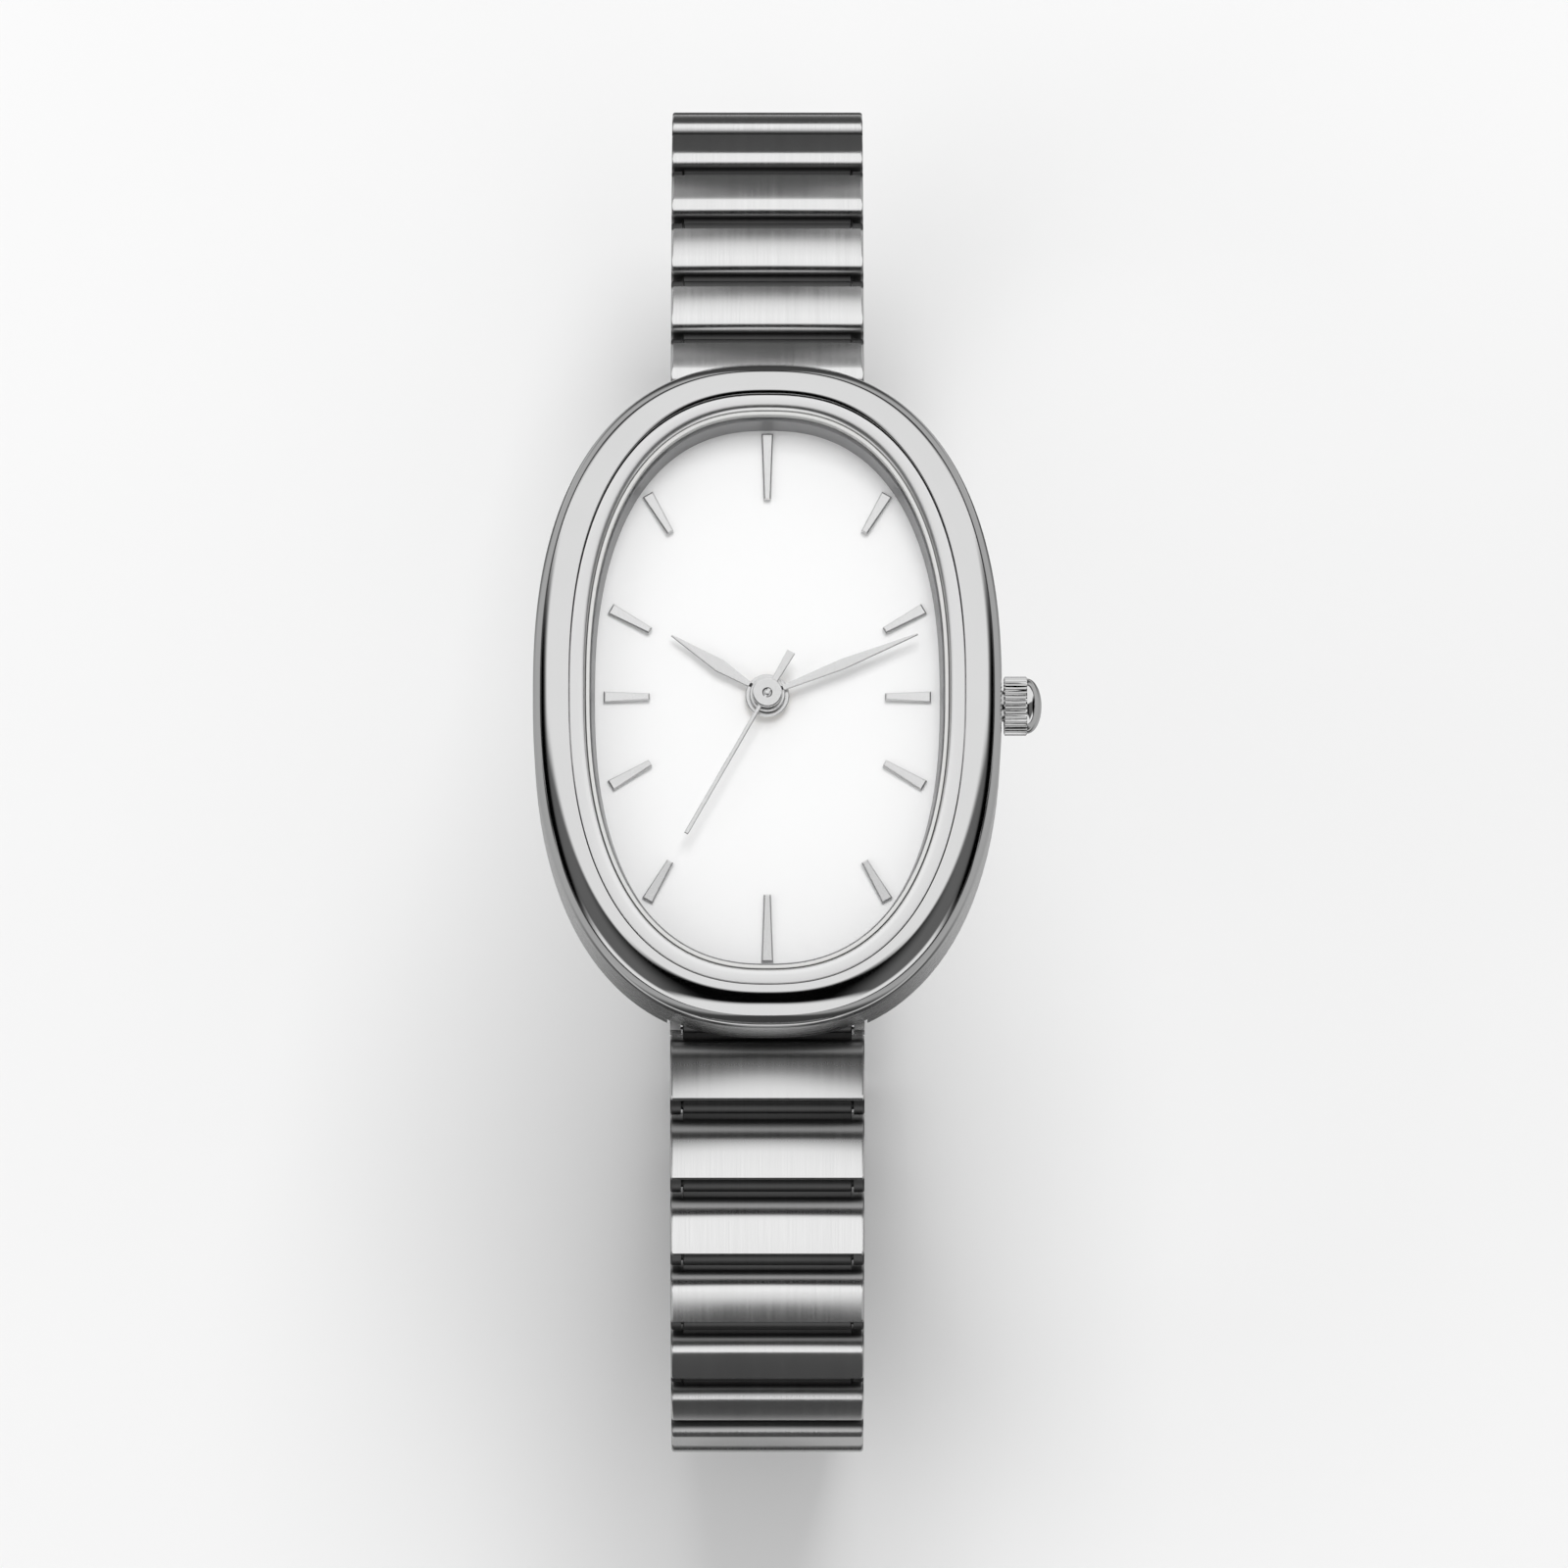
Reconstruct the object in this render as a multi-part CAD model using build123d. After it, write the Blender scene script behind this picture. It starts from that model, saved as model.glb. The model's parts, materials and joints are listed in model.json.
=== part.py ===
from build123d import *
import math
import os

# An oval wristwatch on a closed link bracelet, in millimetres.
# +Z is the dial's normal, +Y points to 12 o'clock and +X to 3 o'clock, where the crown is.
# The closed bracelet stands on its clasp, so zero height is the surface under the clasp cover,
# and the origin lies on it below the dial's centre.
# The head is drawn with the dial's top face at zero height and lifted onto the bracelet at the end.

# Clearances shared by every fit
cut_overrun = 1.0
running_fit = 0.04
seated_fit = 0.02
side_play = 0.10
face_gap = 0.05

# Case outline: a superellipse, wide across X and tall along Y
case_semi_x = 12.05
case_semi_y = 17.35
outline_power = 2.4
outline_points = 24

# Heights in the head, from the dial's top face
dial_thickness = 0.40
case_top = 0.30
case_shoulder = -3.40
case_bottom = -4.60
bottom_inset = 1.50
shoulder_steps = 4

# Cavity of the case middle and the ledge that carries the dial
dial_semi_x = 9.65
dial_semi_y = 14.85
dial_ledge = 0.50
dial_play = 0.06

# Bezel: a domed ring on the case middle
bezel_land = 0.55
bezel_crest = 2.42
bezel_dome_width = 1.55
bezel_width = 1.85
bezel_steps = 7

# Ring that frames the crystal, and what it holds
crystal_ring_width = 0.82
crystal_ring_top = 2.30
crystal_ring_bevel = 0.14
gasket_width = 0.18
crystal_low = 1.50
crystal_high = 2.15
crystal_bevel = 0.12
rehaut_top_width = 0.36
dial_opening_x = 8.86
dial_opening_y = 14.06

# Caseback and its seal
caseback_thickness = 0.80
caseback_inset = 2.05
caseback_bevel = 0.35
caseback_rim = 0.55
caseback_rim_height = 0.50
seal_width = 0.45
seal_height = 0.35

# Hour markers: tapered batons with bevelled tops, by distance from the dial's centre
marker_height = 0.36
marker_bevel = 0.09
marker_wide = 0.60
marker_narrow = 0.36
marker_long = 3.50
marker_short = 2.36
marker_reach_12 = 13.87
marker_reach_1 = 12.32
marker_reach_2 = 9.30
marker_reach_3 = 8.41

# Hands: length from the centre, widths and heights above the dial
hour_length = 5.86
minute_length = 8.34
second_length = 8.47
second_tail = 2.50
hour_hand_width = 0.72
minute_hand_width = 0.58
hand_neck = 0.30
hand_tip = 0.10
second_hand_width = 0.22
second_tail_root = 0.32
second_tail_width = 0.46
hand_thickness = 0.15
hour_hand_low = 0.45
minute_hand_low = 0.80
second_hand_low = 1.12
hour_hub = 1.13
minute_hub = 0.92
second_hub = 0.77
hub_button = 0.10
widest_share = 0.50
hour_angle = 302.7
minute_angle = 67.8
second_angle = 209.5

# Pipes and arbors on the centre axis
second_arbor = 0.20
minute_pipe = 0.46
hour_pipe = 0.74

# Movement: a small quartz calibre in a plastic holder
movement_x = 15.2
movement_y = 17.6
movement_corner = 3.2
holder_top = -0.45
holder_bottom = -4.00
holder_play = 0.08
plate_top = -1.40
plate_bottom = -2.75
bridge_top = -3.70
bridge_bottom = -3.95
pivot_radius = 0.14
arbor_radius = 0.22
jewel_play = 0.03
pillar_radius = 0.42
pillar_shares = ((-0.263, 0.063), (-0.046, -0.284))

# Motion work and going train: pitch distances, and each wheel's slab
motion_distance = 2.40
train_distance = 2.70
minute_wheel_direction = 135
third_wheel_direction = 225
hour_wheel_teeth = 40
minute_pinion_teeth = 10
minute_wheel_teeth = 36
cannon_teeth = 12
centre_wheel_teeth = 64
third_pinion_teeth = 8
third_wheel_teeth = 60
second_pinion_teeth = 8
mesh_gap = 0.03
tooth_height = 0.10
tooth_tip_share = 0.35
wheel_slab = 0.20
hour_wheel_top = -0.50
minute_wheel_top = -1.00
centre_wheel_top = -2.85
third_wheel_top = -3.25
pinion_overlap = 0.05

# Battery, its contact strap, the coil and the circuit board
battery_radius = 3.40
battery_height = 2.10
battery_x = 3.90
battery_y = -5.00
battery_rim = 0.20
battery_play = 0.10
strap_thickness = 0.12
strap_width = 1.60
coil_x = -5.50
coil_y = 3.40
coil_length = 7.60
coil_radius = 0.62
coil_core = 0.30
coil_cheek = 0.50
board_thickness = 0.20
board_low_x = -3.60
board_high_x = 6.20
board_low_y = 2.90
board_high_y = 7.60
can_length = 4.80
can_radius = 0.42
chip_size = 1.90
chip_height = 0.50

# Crown, stem and keyless lever
crown_axis = -2.10
crown_radius = 1.52
crown_inner_face = 12.17
crown_grip = 1.20
crown_dome = 0.75
crown_travel = 0.80
crown_flutes = 36
flute_depth = 0.10
dome_steps = 5
tube_radius = 0.80
tube_inner = 0.42
tube_outer_end = 12.80
stem_radius = 0.36
stem_inner_end = 4.40
groove_x = 6.10
groove_width = 0.60
groove_radius = 0.18
lever_pin = 0.24
lever_length = 2.60
lever_width = 1.10
lever_thickness = 0.24

# Bracelet: pitch, widths and the two rows of link slopes, in degrees below the dial's plane
link_pitch = 4.20
link_width = 10.0
ear_width = 0.55
knuckle_radius = 0.62
pin_radius = 0.35
pin_end_gap = 0.15
first_pin_y = 16.30
first_pin_z = -3.70
face_height = 1.12
edge_height = 0.94
rise_radius = 0.55
face_start = 0.80
edge_before_pin = 0.27
edge_bevel = 0.18
inner_depth = 0.85
neck_half = 0.42
knuckle_clear = 0.12
side_round = 0.22
slopes_12h = (36, 31, 31, 37, 49, 65, 82, 99, 116, 131, 144, 156, 167, 175)
slopes_6h = (23, 29, 37, 48, 60, 72, 84, 100, 117, 133, 147, 159, 169)

# Lugs under the case that carry the bracelet's first pins
lug_ceiling = -2.42
lug_wall = 0.95
lug_slot_play = 0.15

# Clasp: a channel with a hinged outer cover; the bracelet stands on the cover
clasp_pin_height = 1.52
cover_thickness = 0.45
cover_hinge_radius = 0.60
cover_hinge_inboard = 1.95
cover_hinge_pin = 0.25
frame_plate = 0.45
frame_wall = 0.55
frame_play = 0.08
catch_gap = 0.30
catch_length = 1.20


def oval_points(semi_x, semi_y):
    """Points of the superellipse, evenly turned about the centre."""
    points = []
    for step in range(outline_points):
        turn = 2 * math.pi * step / outline_points
        across = math.cos(turn)
        along = math.sin(turn)
        reach = (abs(across) ** outline_power + abs(along) ** outline_power) ** (-1 / outline_power)
        points.append((semi_x * reach * across, semi_y * reach * along))
    return points


def oval_face(semi_x, semi_y, height):
    return Pos(0, 0, height) * make_face(Spline(*oval_points(semi_x, semi_y), periodic=True))


def oval_plate(semi_x, semi_y, low, high):
    return extrude(oval_face(semi_x, semi_y, low), amount=high - low, dir=(0, 0, 1))


def oval_stack(sections):
    """A solid through ovals given as (semi_x, semi_y, height), with straight walls between them."""
    return loft([oval_face(*section) for section in sections], ruled=True)


def rod(radius, low, high, x=0, y=0):
    """An upright round bar."""
    return Pos(x, y, low) * Cylinder(radius, high - low, align=(Align.CENTER, Align.CENTER, Align.MIN))


def bar_x(radius, left, right, y, z):
    """A round bar along X."""
    turned = Rot(0, 90, 0) * Cylinder(radius, right - left)
    return Pos((left + right) / 2, y, z) * turned


def block(x0, x1, y0, y1, z0, z1):
    """A box between two values along each axis, in either order."""
    centre = Pos((x0 + x1) / 2, (y0 + y1) / 2, (z0 + z1) / 2)
    return centre * Box(abs(x1 - x0), abs(y1 - y0), abs(z1 - z0))


def both_sides(shape):
    """The shape and its mirror image across the plane X = 0."""
    return [shape, mirror(shape, about=Plane.YZ)]


def toothed_wheel(teeth, pitch_radius, low, high, bore=0):
    """A flat wheel whose tooth tips stay half the mesh gap inside the pitch circle."""
    tip = pitch_radius - mesh_gap / 2
    root = tip - tooth_height
    points = []
    for tooth in range(teeth):
        middle = 2 * math.pi * tooth / teeth
        quarter = math.pi / teeth
        for radius, offset in (
            (root, -quarter),
            (tip, -quarter * tooth_tip_share),
            (tip, quarter * tooth_tip_share),
        ):
            turn = middle + offset
            points.append((radius * math.cos(turn), radius * math.sin(turn)))
    flat = make_face(Polyline(*points, close=True))
    wheel = extrude(Pos(0, 0, low) * flat, amount=high - low, dir=(0, 0, 1))
    if bore:
        wheel -= rod(bore, low - cut_overrun, high + cut_overrun)
    return wheel


nodes = {}

# Case middle: a straight wall above the shoulder, rounding in towards the caseback
shoulder_sections = []
for step in range(shoulder_steps + 1):
    turn = math.pi / 2 * step / shoulder_steps
    inset = bottom_inset * (1 - math.cos(turn))
    level = case_shoulder + (case_bottom - case_shoulder) * math.sin(turn)
    shoulder_sections.append((case_semi_x - inset, case_semi_y - inset, level))
shoulder_sections.reverse()
case_middle = oval_plate(case_semi_x, case_semi_y, case_shoulder, case_top)
case_middle += oval_stack(shoulder_sections)
cavity_x = dial_semi_x + dial_play
cavity_y = dial_semi_y + dial_play
well_x = cavity_x - dial_ledge
well_y = cavity_y - dial_ledge
case_middle -= oval_plate(cavity_x, cavity_y, -dial_thickness, case_top + cut_overrun)
case_middle -= oval_plate(well_x, well_y, case_bottom - cut_overrun, case_top)

# Rebate for the caseback's seal
case_middle -= oval_plate(
    well_x + seal_width, well_y + seal_width, case_bottom - cut_overrun, case_bottom + seal_height
)

# Room under both ends for the first links, between two lugs at each end
link_half = link_width / 2
knuckle_half = link_half - ear_width - side_play
lug_inboard = first_pin_y - lug_wall
for end in (1, -1):
    slot_from = end * lug_inboard
    slot_to = end * (case_semi_y + cut_overrun)
    slot_half = link_half + lug_slot_play
    case_middle -= block(
        -slot_half, slot_half, slot_from, slot_to, case_bottom - cut_overrun, lug_ceiling
    )
    lug_left = link_half - ear_width
    lug = bar_x(knuckle_radius, lug_left, link_half, end * first_pin_y, first_pin_z)
    lug += block(
        lug_left,
        link_half,
        end * (lug_inboard - face_gap),
        end * (first_pin_y + knuckle_radius),
        first_pin_z,
        lug_ceiling + face_gap,
    )
    lug -= bar_x(
        pin_radius + seated_fit, lug_left - cut_overrun, link_half, end * first_pin_y, first_pin_z
    )
    for side_lug in both_sides(lug):
        case_middle += side_lug

# Bore for the crown tube
case_middle -= bar_x(tube_radius + seated_fit, 0, case_semi_x + cut_overrun, 0, crown_axis)
nodes["case_middle"] = case_middle

# Spring bars in the lugs
bar_half = link_half - pin_end_gap
nodes["spring_bars"] = Compound(
    children=[bar_x(pin_radius, -bar_half, bar_half, end * first_pin_y, first_pin_z) for end in (1, -1)]
)

# Bezel: upright land, then a quarter-round dome up to the crest, flat to the crystal ring
bezel_sections = [(case_semi_x, case_semi_y, case_top)]
bezel_shoulder = case_top + bezel_land
for step in range(bezel_steps + 1):
    turn = math.pi / 2 * step / bezel_steps
    inset = bezel_dome_width * (1 - math.cos(turn))
    level = bezel_shoulder + (bezel_crest - bezel_shoulder) * math.sin(turn)
    bezel_sections.append((case_semi_x - inset, case_semi_y - inset, level))
ring_seat_x = case_semi_x - bezel_width
ring_seat_y = case_semi_y - bezel_width
bezel = oval_stack(bezel_sections)
bezel -= oval_plate(ring_seat_x, ring_seat_y, case_top - cut_overrun, bezel_crest + cut_overrun)
nodes["bezel"] = bezel

# Crystal ring: a band round the crystal with a bevelled inner lip
ring_x = ring_seat_x - face_gap
ring_y = ring_seat_y - face_gap
glass_hole_x = ring_x - crystal_ring_width
glass_hole_y = ring_y - crystal_ring_width
crystal_ring = oval_plate(ring_x, ring_y, case_top, crystal_ring_top)
crystal_ring -= oval_plate(cavity_x, cavity_y, case_top - cut_overrun, crystal_low)
crystal_ring -= oval_plate(
    glass_hole_x, glass_hole_y, crystal_low - cut_overrun, crystal_ring_top + cut_overrun
)
bevel_foot = crystal_ring_top - crystal_ring_bevel * 2
bevel_foot_x = glass_hole_x - crystal_ring_bevel
bevel_foot_y = glass_hole_y - crystal_ring_bevel
bevel_top_x = glass_hole_x + crystal_ring_bevel
bevel_top_y = glass_hole_y + crystal_ring_bevel
crystal_ring -= oval_stack(
    [
        (bevel_foot_x, bevel_foot_y, bevel_foot),
        (bevel_top_x, bevel_top_y, crystal_ring_top),
        (bevel_top_x, bevel_top_y, crystal_ring_top + cut_overrun),
    ]
)
nodes["crystal_ring"] = crystal_ring

# Seal between the crystal and its ring
gasket_x = glass_hole_x - seated_fit
gasket_y = glass_hole_y - seated_fit
gasket_inner_x = gasket_x - gasket_width
gasket_inner_y = gasket_y - gasket_width
nodes["crystal_gasket"] = oval_plate(gasket_x, gasket_y, crystal_low, crystal_high) - oval_plate(
    gasket_inner_x, gasket_inner_y, crystal_low - cut_overrun, crystal_high + cut_overrun
)

# Crystal: flat glass with a bevelled top edge
glass_x = gasket_inner_x - seated_fit
glass_y = gasket_inner_y - seated_fit
crystal = oval_plate(glass_x, glass_y, crystal_low, crystal_high - crystal_bevel)
crystal += oval_stack(
    [
        (glass_x, glass_y, crystal_high - crystal_bevel),
        (glass_x - crystal_bevel, glass_y - crystal_bevel, crystal_high),
    ]
)
nodes["crystal"] = crystal

# Rehaut: the sloped wall between the dial and the crystal
rehaut_ring = oval_plate(cavity_x - dial_play, cavity_y - dial_play, 0, crystal_low)
rehaut_ring -= oval_stack(
    [
        (dial_opening_x, dial_opening_y, 0),
        (
            glass_x - rehaut_top_width + gasket_width,
            glass_y - rehaut_top_width + gasket_width,
            crystal_low,
        ),
    ]
)
nodes["rehaut_ring"] = rehaut_ring

# Dial on its ledge, with the centre hole
dial = oval_plate(dial_semi_x, dial_semi_y, -dial_thickness, 0)
dial_hole = hour_pipe + 2 * running_fit
dial -= rod(dial_hole, -dial_thickness - cut_overrun, cut_overrun)
nodes["dial"] = dial


def hour_marker(reach, length, clock_degrees):
    """A baton that narrows towards the centre, its flat top bevelled on all four sides."""

    def outline(inset, height):
        wide = marker_wide / 2 - inset
        narrow = marker_narrow / 2 - inset
        outer = reach - inset
        inner = reach - length + inset
        corners = ((-narrow, inner), (narrow, inner), (wide, outer), (-wide, outer))
        return Pos(0, 0, height) * make_face(Polyline(*corners, close=True))

    shoulder = marker_height - marker_bevel
    baton = extrude(outline(0, 0), amount=shoulder, dir=(0, 0, 1))
    baton += loft([outline(0, shoulder), outline(marker_bevel, marker_height)], ruled=True)
    return Rot(0, 0, -clock_degrees) * baton


marker_table = []
for hour in range(12):
    fold = min(hour % 6, 6 - hour % 6)
    reach = (marker_reach_12, marker_reach_1, marker_reach_2, marker_reach_3)[fold]
    length = marker_long if fold == 0 else marker_short
    marker_table.append(hour_marker(reach, length, 30 * hour))
nodes["hour_markers"] = Compound(children=marker_table)


def leaf_hand(length, width, hub, low, bore, clock_degrees):
    """A lozenge-shaped hand with a narrow neck, and a round hub bored for its pipe."""
    widest = length * widest_share
    outline = Polyline(
        (-hand_neck / 2, 0),
        (hand_neck / 2, 0),
        (hand_neck / 2, hub),
        (width / 2, widest),
        (hand_tip / 2, length),
        (-hand_tip / 2, length),
        (-width / 2, widest),
        (-hand_neck / 2, hub),
        close=True,
    )
    hand = extrude(Pos(0, 0, low) * make_face(outline), amount=hand_thickness, dir=(0, 0, 1))
    hand += rod(hub, low, low + hand_thickness)
    hand -= rod(bore, low - cut_overrun, low + hand_thickness + cut_overrun)
    return Rot(0, 0, -clock_degrees) * hand


nodes["hour_hand"] = leaf_hand(
    hour_length, hour_hand_width, hour_hub, hour_hand_low, hour_pipe + seated_fit, hour_angle
)
nodes["minute_hand"] = leaf_hand(
    minute_length, minute_hand_width, minute_hub, minute_hand_low, minute_pipe + seated_fit, minute_angle
)

# Second hand: a thin bar with a broader short tail and a round button
second_outline = Polyline(
    (-second_tail_width / 2, -second_tail),
    (second_tail_width / 2, -second_tail),
    (second_tail_root / 2, 0),
    (second_hand_width / 2, 0),
    (second_hand_width / 2, second_length),
    (-second_hand_width / 2, second_length),
    (-second_hand_width / 2, 0),
    (-second_tail_root / 2, 0),
    close=True,
)
second_hand = extrude(
    Pos(0, 0, second_hand_low) * make_face(second_outline), amount=hand_thickness, dir=(0, 0, 1)
)
second_hand_top = second_hand_low + hand_thickness
second_hand += rod(second_hub, second_hand_low, second_hand_top + hub_button)
second_hand -= rod(second_arbor + seated_fit, second_hand_low - cut_overrun, second_hand_top)
nodes["second_hand"] = Rot(0, 0, -second_angle) * second_hand

# Motion work: the hour wheel turns round the minute pipe, the minute wheel beside it
minute_wheel_x = motion_distance * math.cos(math.radians(minute_wheel_direction))
minute_wheel_y = motion_distance * math.sin(math.radians(minute_wheel_direction))


def pitch_radius(distance, teeth, mate_teeth):
    """The pitch circle of a wheel that meshes with its mate over a centre distance."""
    return distance * teeth / (teeth + mate_teeth)


hour_wheel_radius = pitch_radius(motion_distance, hour_wheel_teeth, minute_pinion_teeth)
minute_pinion_radius = pitch_radius(motion_distance, minute_pinion_teeth, hour_wheel_teeth)
cannon_radius = pitch_radius(motion_distance, cannon_teeth, minute_wheel_teeth)
minute_wheel_radius = pitch_radius(motion_distance, minute_wheel_teeth, cannon_teeth)
centre_wheel_radius = pitch_radius(train_distance, centre_wheel_teeth, third_pinion_teeth)
third_pinion_radius = pitch_radius(train_distance, third_pinion_teeth, centre_wheel_teeth)
third_wheel_radius = pitch_radius(train_distance, third_wheel_teeth, second_pinion_teeth)
second_pinion_radius = pitch_radius(train_distance, second_pinion_teeth, third_wheel_teeth)

hour_wheel_low = hour_wheel_top - wheel_slab
minute_wheel_low = minute_wheel_top - wheel_slab
centre_wheel_low = centre_wheel_top - wheel_slab
third_wheel_low = third_wheel_top - wheel_slab
hour_hand_top = hour_hand_low + hand_thickness
minute_hand_top = minute_hand_low + hand_thickness
hour_wheel = toothed_wheel(hour_wheel_teeth, hour_wheel_radius, hour_wheel_low, hour_wheel_top)
hour_wheel += rod(hour_pipe, hour_wheel_low, hour_hand_top)
hour_wheel -= rod(minute_pipe + running_fit, hour_wheel_low - cut_overrun, hour_hand_top + cut_overrun)
nodes["hour_wheel"] = hour_wheel

minute_wheel = Pos(minute_wheel_x, minute_wheel_y, 0) * (
    toothed_wheel(minute_wheel_teeth, minute_wheel_radius, minute_wheel_low, minute_wheel_top)
    + toothed_wheel(
        minute_pinion_teeth, minute_pinion_radius, minute_wheel_top - pinion_overlap, hour_wheel_top
    )
)
minute_wheel += rod(
    arbor_radius, plate_top - wheel_slab, minute_wheel_top, minute_wheel_x, minute_wheel_y
)
nodes["minute_wheel"] = minute_wheel

# Centre wheel: the pipe through the plate carries the minute hand and the cannon pinion
centre_wheel = toothed_wheel(centre_wheel_teeth, centre_wheel_radius, centre_wheel_low, centre_wheel_top)
centre_wheel += rod(minute_pipe, centre_wheel_low, minute_hand_top)
centre_wheel += toothed_wheel(cannon_teeth, cannon_radius, minute_wheel_low, minute_wheel_top)
centre_wheel -= rod(
    second_arbor + running_fit, centre_wheel_low - cut_overrun, minute_hand_top + cut_overrun
)
nodes["centre_wheel"] = centre_wheel

# Third wheel, on its own arbor between the plate and the bridge
third_x = train_distance * math.cos(math.radians(third_wheel_direction))
third_y = train_distance * math.sin(math.radians(third_wheel_direction))
third_wheel = Pos(third_x, third_y, 0) * (
    toothed_wheel(third_wheel_teeth, third_wheel_radius, third_wheel_low, third_wheel_top)
    + toothed_wheel(
        third_pinion_teeth, third_pinion_radius, third_wheel_top - pinion_overlap, centre_wheel_top
    )
)
third_wheel += rod(pivot_radius, bridge_bottom, third_wheel_top, third_x, third_y)
third_wheel += rod(pivot_radius, centre_wheel_low, plate_bottom + wheel_slab, third_x, third_y)
nodes["third_wheel"] = third_wheel

# Second wheel: a pinion on the arbor that carries the second hand
second_wheel = rod(second_arbor, bridge_top, second_hand_top - seated_fit)
second_wheel += toothed_wheel(
    second_pinion_teeth, second_pinion_radius, third_wheel_low, third_wheel_top
)
second_wheel += rod(pivot_radius, bridge_bottom, bridge_top + pinion_overlap)
nodes["second_wheel"] = second_wheel


def calibre_plate(size_x, size_y, corner, low, high):
    return extrude(Pos(0, 0, low) * RectangleRounded(size_x, size_y, corner), amount=high - low)


# Main plate with its holes, and the cut-outs for the battery, stem and lever
battery_low = holder_bottom - battery_rim
battery_top = battery_low + battery_height
main_plate = calibre_plate(movement_x, movement_y, movement_corner, plate_bottom, plate_top)
main_plate -= rod(minute_pipe + running_fit, plate_bottom - cut_overrun, plate_top + cut_overrun)
main_plate -= rod(
    battery_radius + battery_play, plate_bottom - cut_overrun, battery_top + face_gap, battery_x, battery_y
)
main_plate -= rod(
    arbor_radius + jewel_play,
    plate_top - wheel_slab - face_gap,
    plate_top + cut_overrun,
    minute_wheel_x,
    minute_wheel_y,
)
main_plate -= rod(
    pivot_radius + jewel_play,
    plate_bottom - cut_overrun,
    plate_bottom + wheel_slab + face_gap,
    third_x,
    third_y,
)
main_plate -= bar_x(stem_radius + running_fit, stem_inner_end - face_gap, movement_x, 0, crown_axis)
lever_slot_half = lever_pin + face_gap
main_plate -= block(
    groove_x - lever_slot_half,
    groove_x + lever_slot_half + crown_travel,
    -lever_slot_half,
    lever_slot_half,
    crown_axis,
    plate_top + cut_overrun,
)
main_plate -= block(
    coil_x - coil_radius - face_gap,
    coil_x + coil_radius + face_gap,
    coil_y - coil_length / 2 - coil_cheek - face_gap,
    coil_y + coil_length / 2 + coil_cheek + face_gap,
    plate_bottom - cut_overrun,
    plate_bottom + coil_core,
)
nodes["main_plate"] = main_plate

# Train bridge on two pillars under the plate
pillar_places = tuple((movement_x * x_share, movement_y * y_share) for x_share, y_share in pillar_shares)
bridge_outline = Sketch() + [
    Pos(x, y) * Circle(pillar_radius * 2) for x, y in ((0, 0), (third_x, third_y)) + pillar_places
]
train_bridge = extrude(
    Pos(0, 0, bridge_bottom) * make_hull(bridge_outline.edges()), amount=bridge_top - bridge_bottom
)
for x, y in pillar_places:
    train_bridge += rod(pillar_radius, bridge_bottom, plate_bottom, x, y)
for x, y in ((0, 0), (third_x, third_y)):
    train_bridge -= rod(
        pivot_radius + jewel_play, bridge_bottom - cut_overrun, bridge_top + cut_overrun, x, y
    )
nodes["train_bridge"] = train_bridge

# Battery cell: can and raised cap, face down towards the caseback
battery = rod(battery_radius, battery_low + battery_rim, battery_top, battery_x, battery_y)
battery += rod(battery_radius - 2 * battery_rim, battery_low, battery_top, battery_x, battery_y)
nodes["battery"] = battery

# Contact strap under the battery, fixed to the plate by a foot beside it
strap_foot_x = battery_x - battery_radius - battery_play - strap_width / 2
strap_top = battery_low
strap_low = strap_top - strap_thickness
battery_strap = block(
    strap_foot_x - strap_width / 2,
    battery_x + battery_radius / 2,
    battery_y - battery_radius / 2 - strap_width / 2,
    battery_y - battery_radius / 2 + strap_width / 2,
    strap_low,
    strap_top,
)
battery_strap += block(
    strap_foot_x - strap_width / 4,
    strap_foot_x + strap_width / 4,
    battery_y - battery_radius / 2 - strap_width / 4,
    battery_y - battery_radius / 2 + strap_width / 4,
    strap_low,
    plate_bottom,
)
nodes["battery_strap"] = battery_strap

# Coil: a wound body between two cheeks on an iron core
coil_z = plate_bottom + coil_core - coil_radius - face_gap
coil_low_y = coil_y - coil_length / 2
coil_high_y = coil_y + coil_length / 2
winding = Pos(coil_x, coil_y, coil_z) * (Rot(90, 0, 0) * Cylinder(coil_radius, coil_length))
cheeks = [
    block(
        coil_x - coil_radius,
        coil_x + coil_radius,
        low,
        low + coil_cheek,
        coil_z - coil_radius,
        coil_z + coil_radius,
    )
    for low in (coil_low_y - coil_cheek, coil_high_y)
]
nodes["coil"] = winding + cheeks

# Circuit board with its chip and the quartz can
board_high = holder_bottom + board_thickness
circuit_board = block(board_low_x, board_high_x, board_low_y, board_high_y, holder_bottom, board_high)
can_y = board_high_y - 2 * can_radius
can = bar_x(can_radius, -can_length / 2, can_length / 2, can_y, board_high + can_radius)
chip_x = board_high_x - chip_size
chip_y = board_low_y + chip_size
chip = block(
    chip_x - chip_size / 2, chip_x + chip_size / 2, chip_y - chip_size / 2, chip_y + chip_size / 2,
    board_high, board_high + chip_height,
)
board_post = rod(can_radius, board_high, plate_bottom, board_low_x + chip_size, chip_y)
nodes["circuit_board"] = Compound(children=[circuit_board + board_post, can, chip])

# Movement holder: plastic ring that fills the case round the calibre
movement_holder = oval_plate(well_x - holder_play, well_y - holder_play, holder_bottom, holder_top)
movement_holder -= calibre_plate(
    movement_x + 2 * holder_play,
    movement_y + 2 * holder_play,
    movement_corner + holder_play,
    holder_bottom - cut_overrun,
    holder_top + cut_overrun,
)
movement_holder -= bar_x(tube_radius + holder_play, 0, well_x + cut_overrun, 0, crown_axis)
nodes["movement_holder"] = movement_holder

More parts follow.
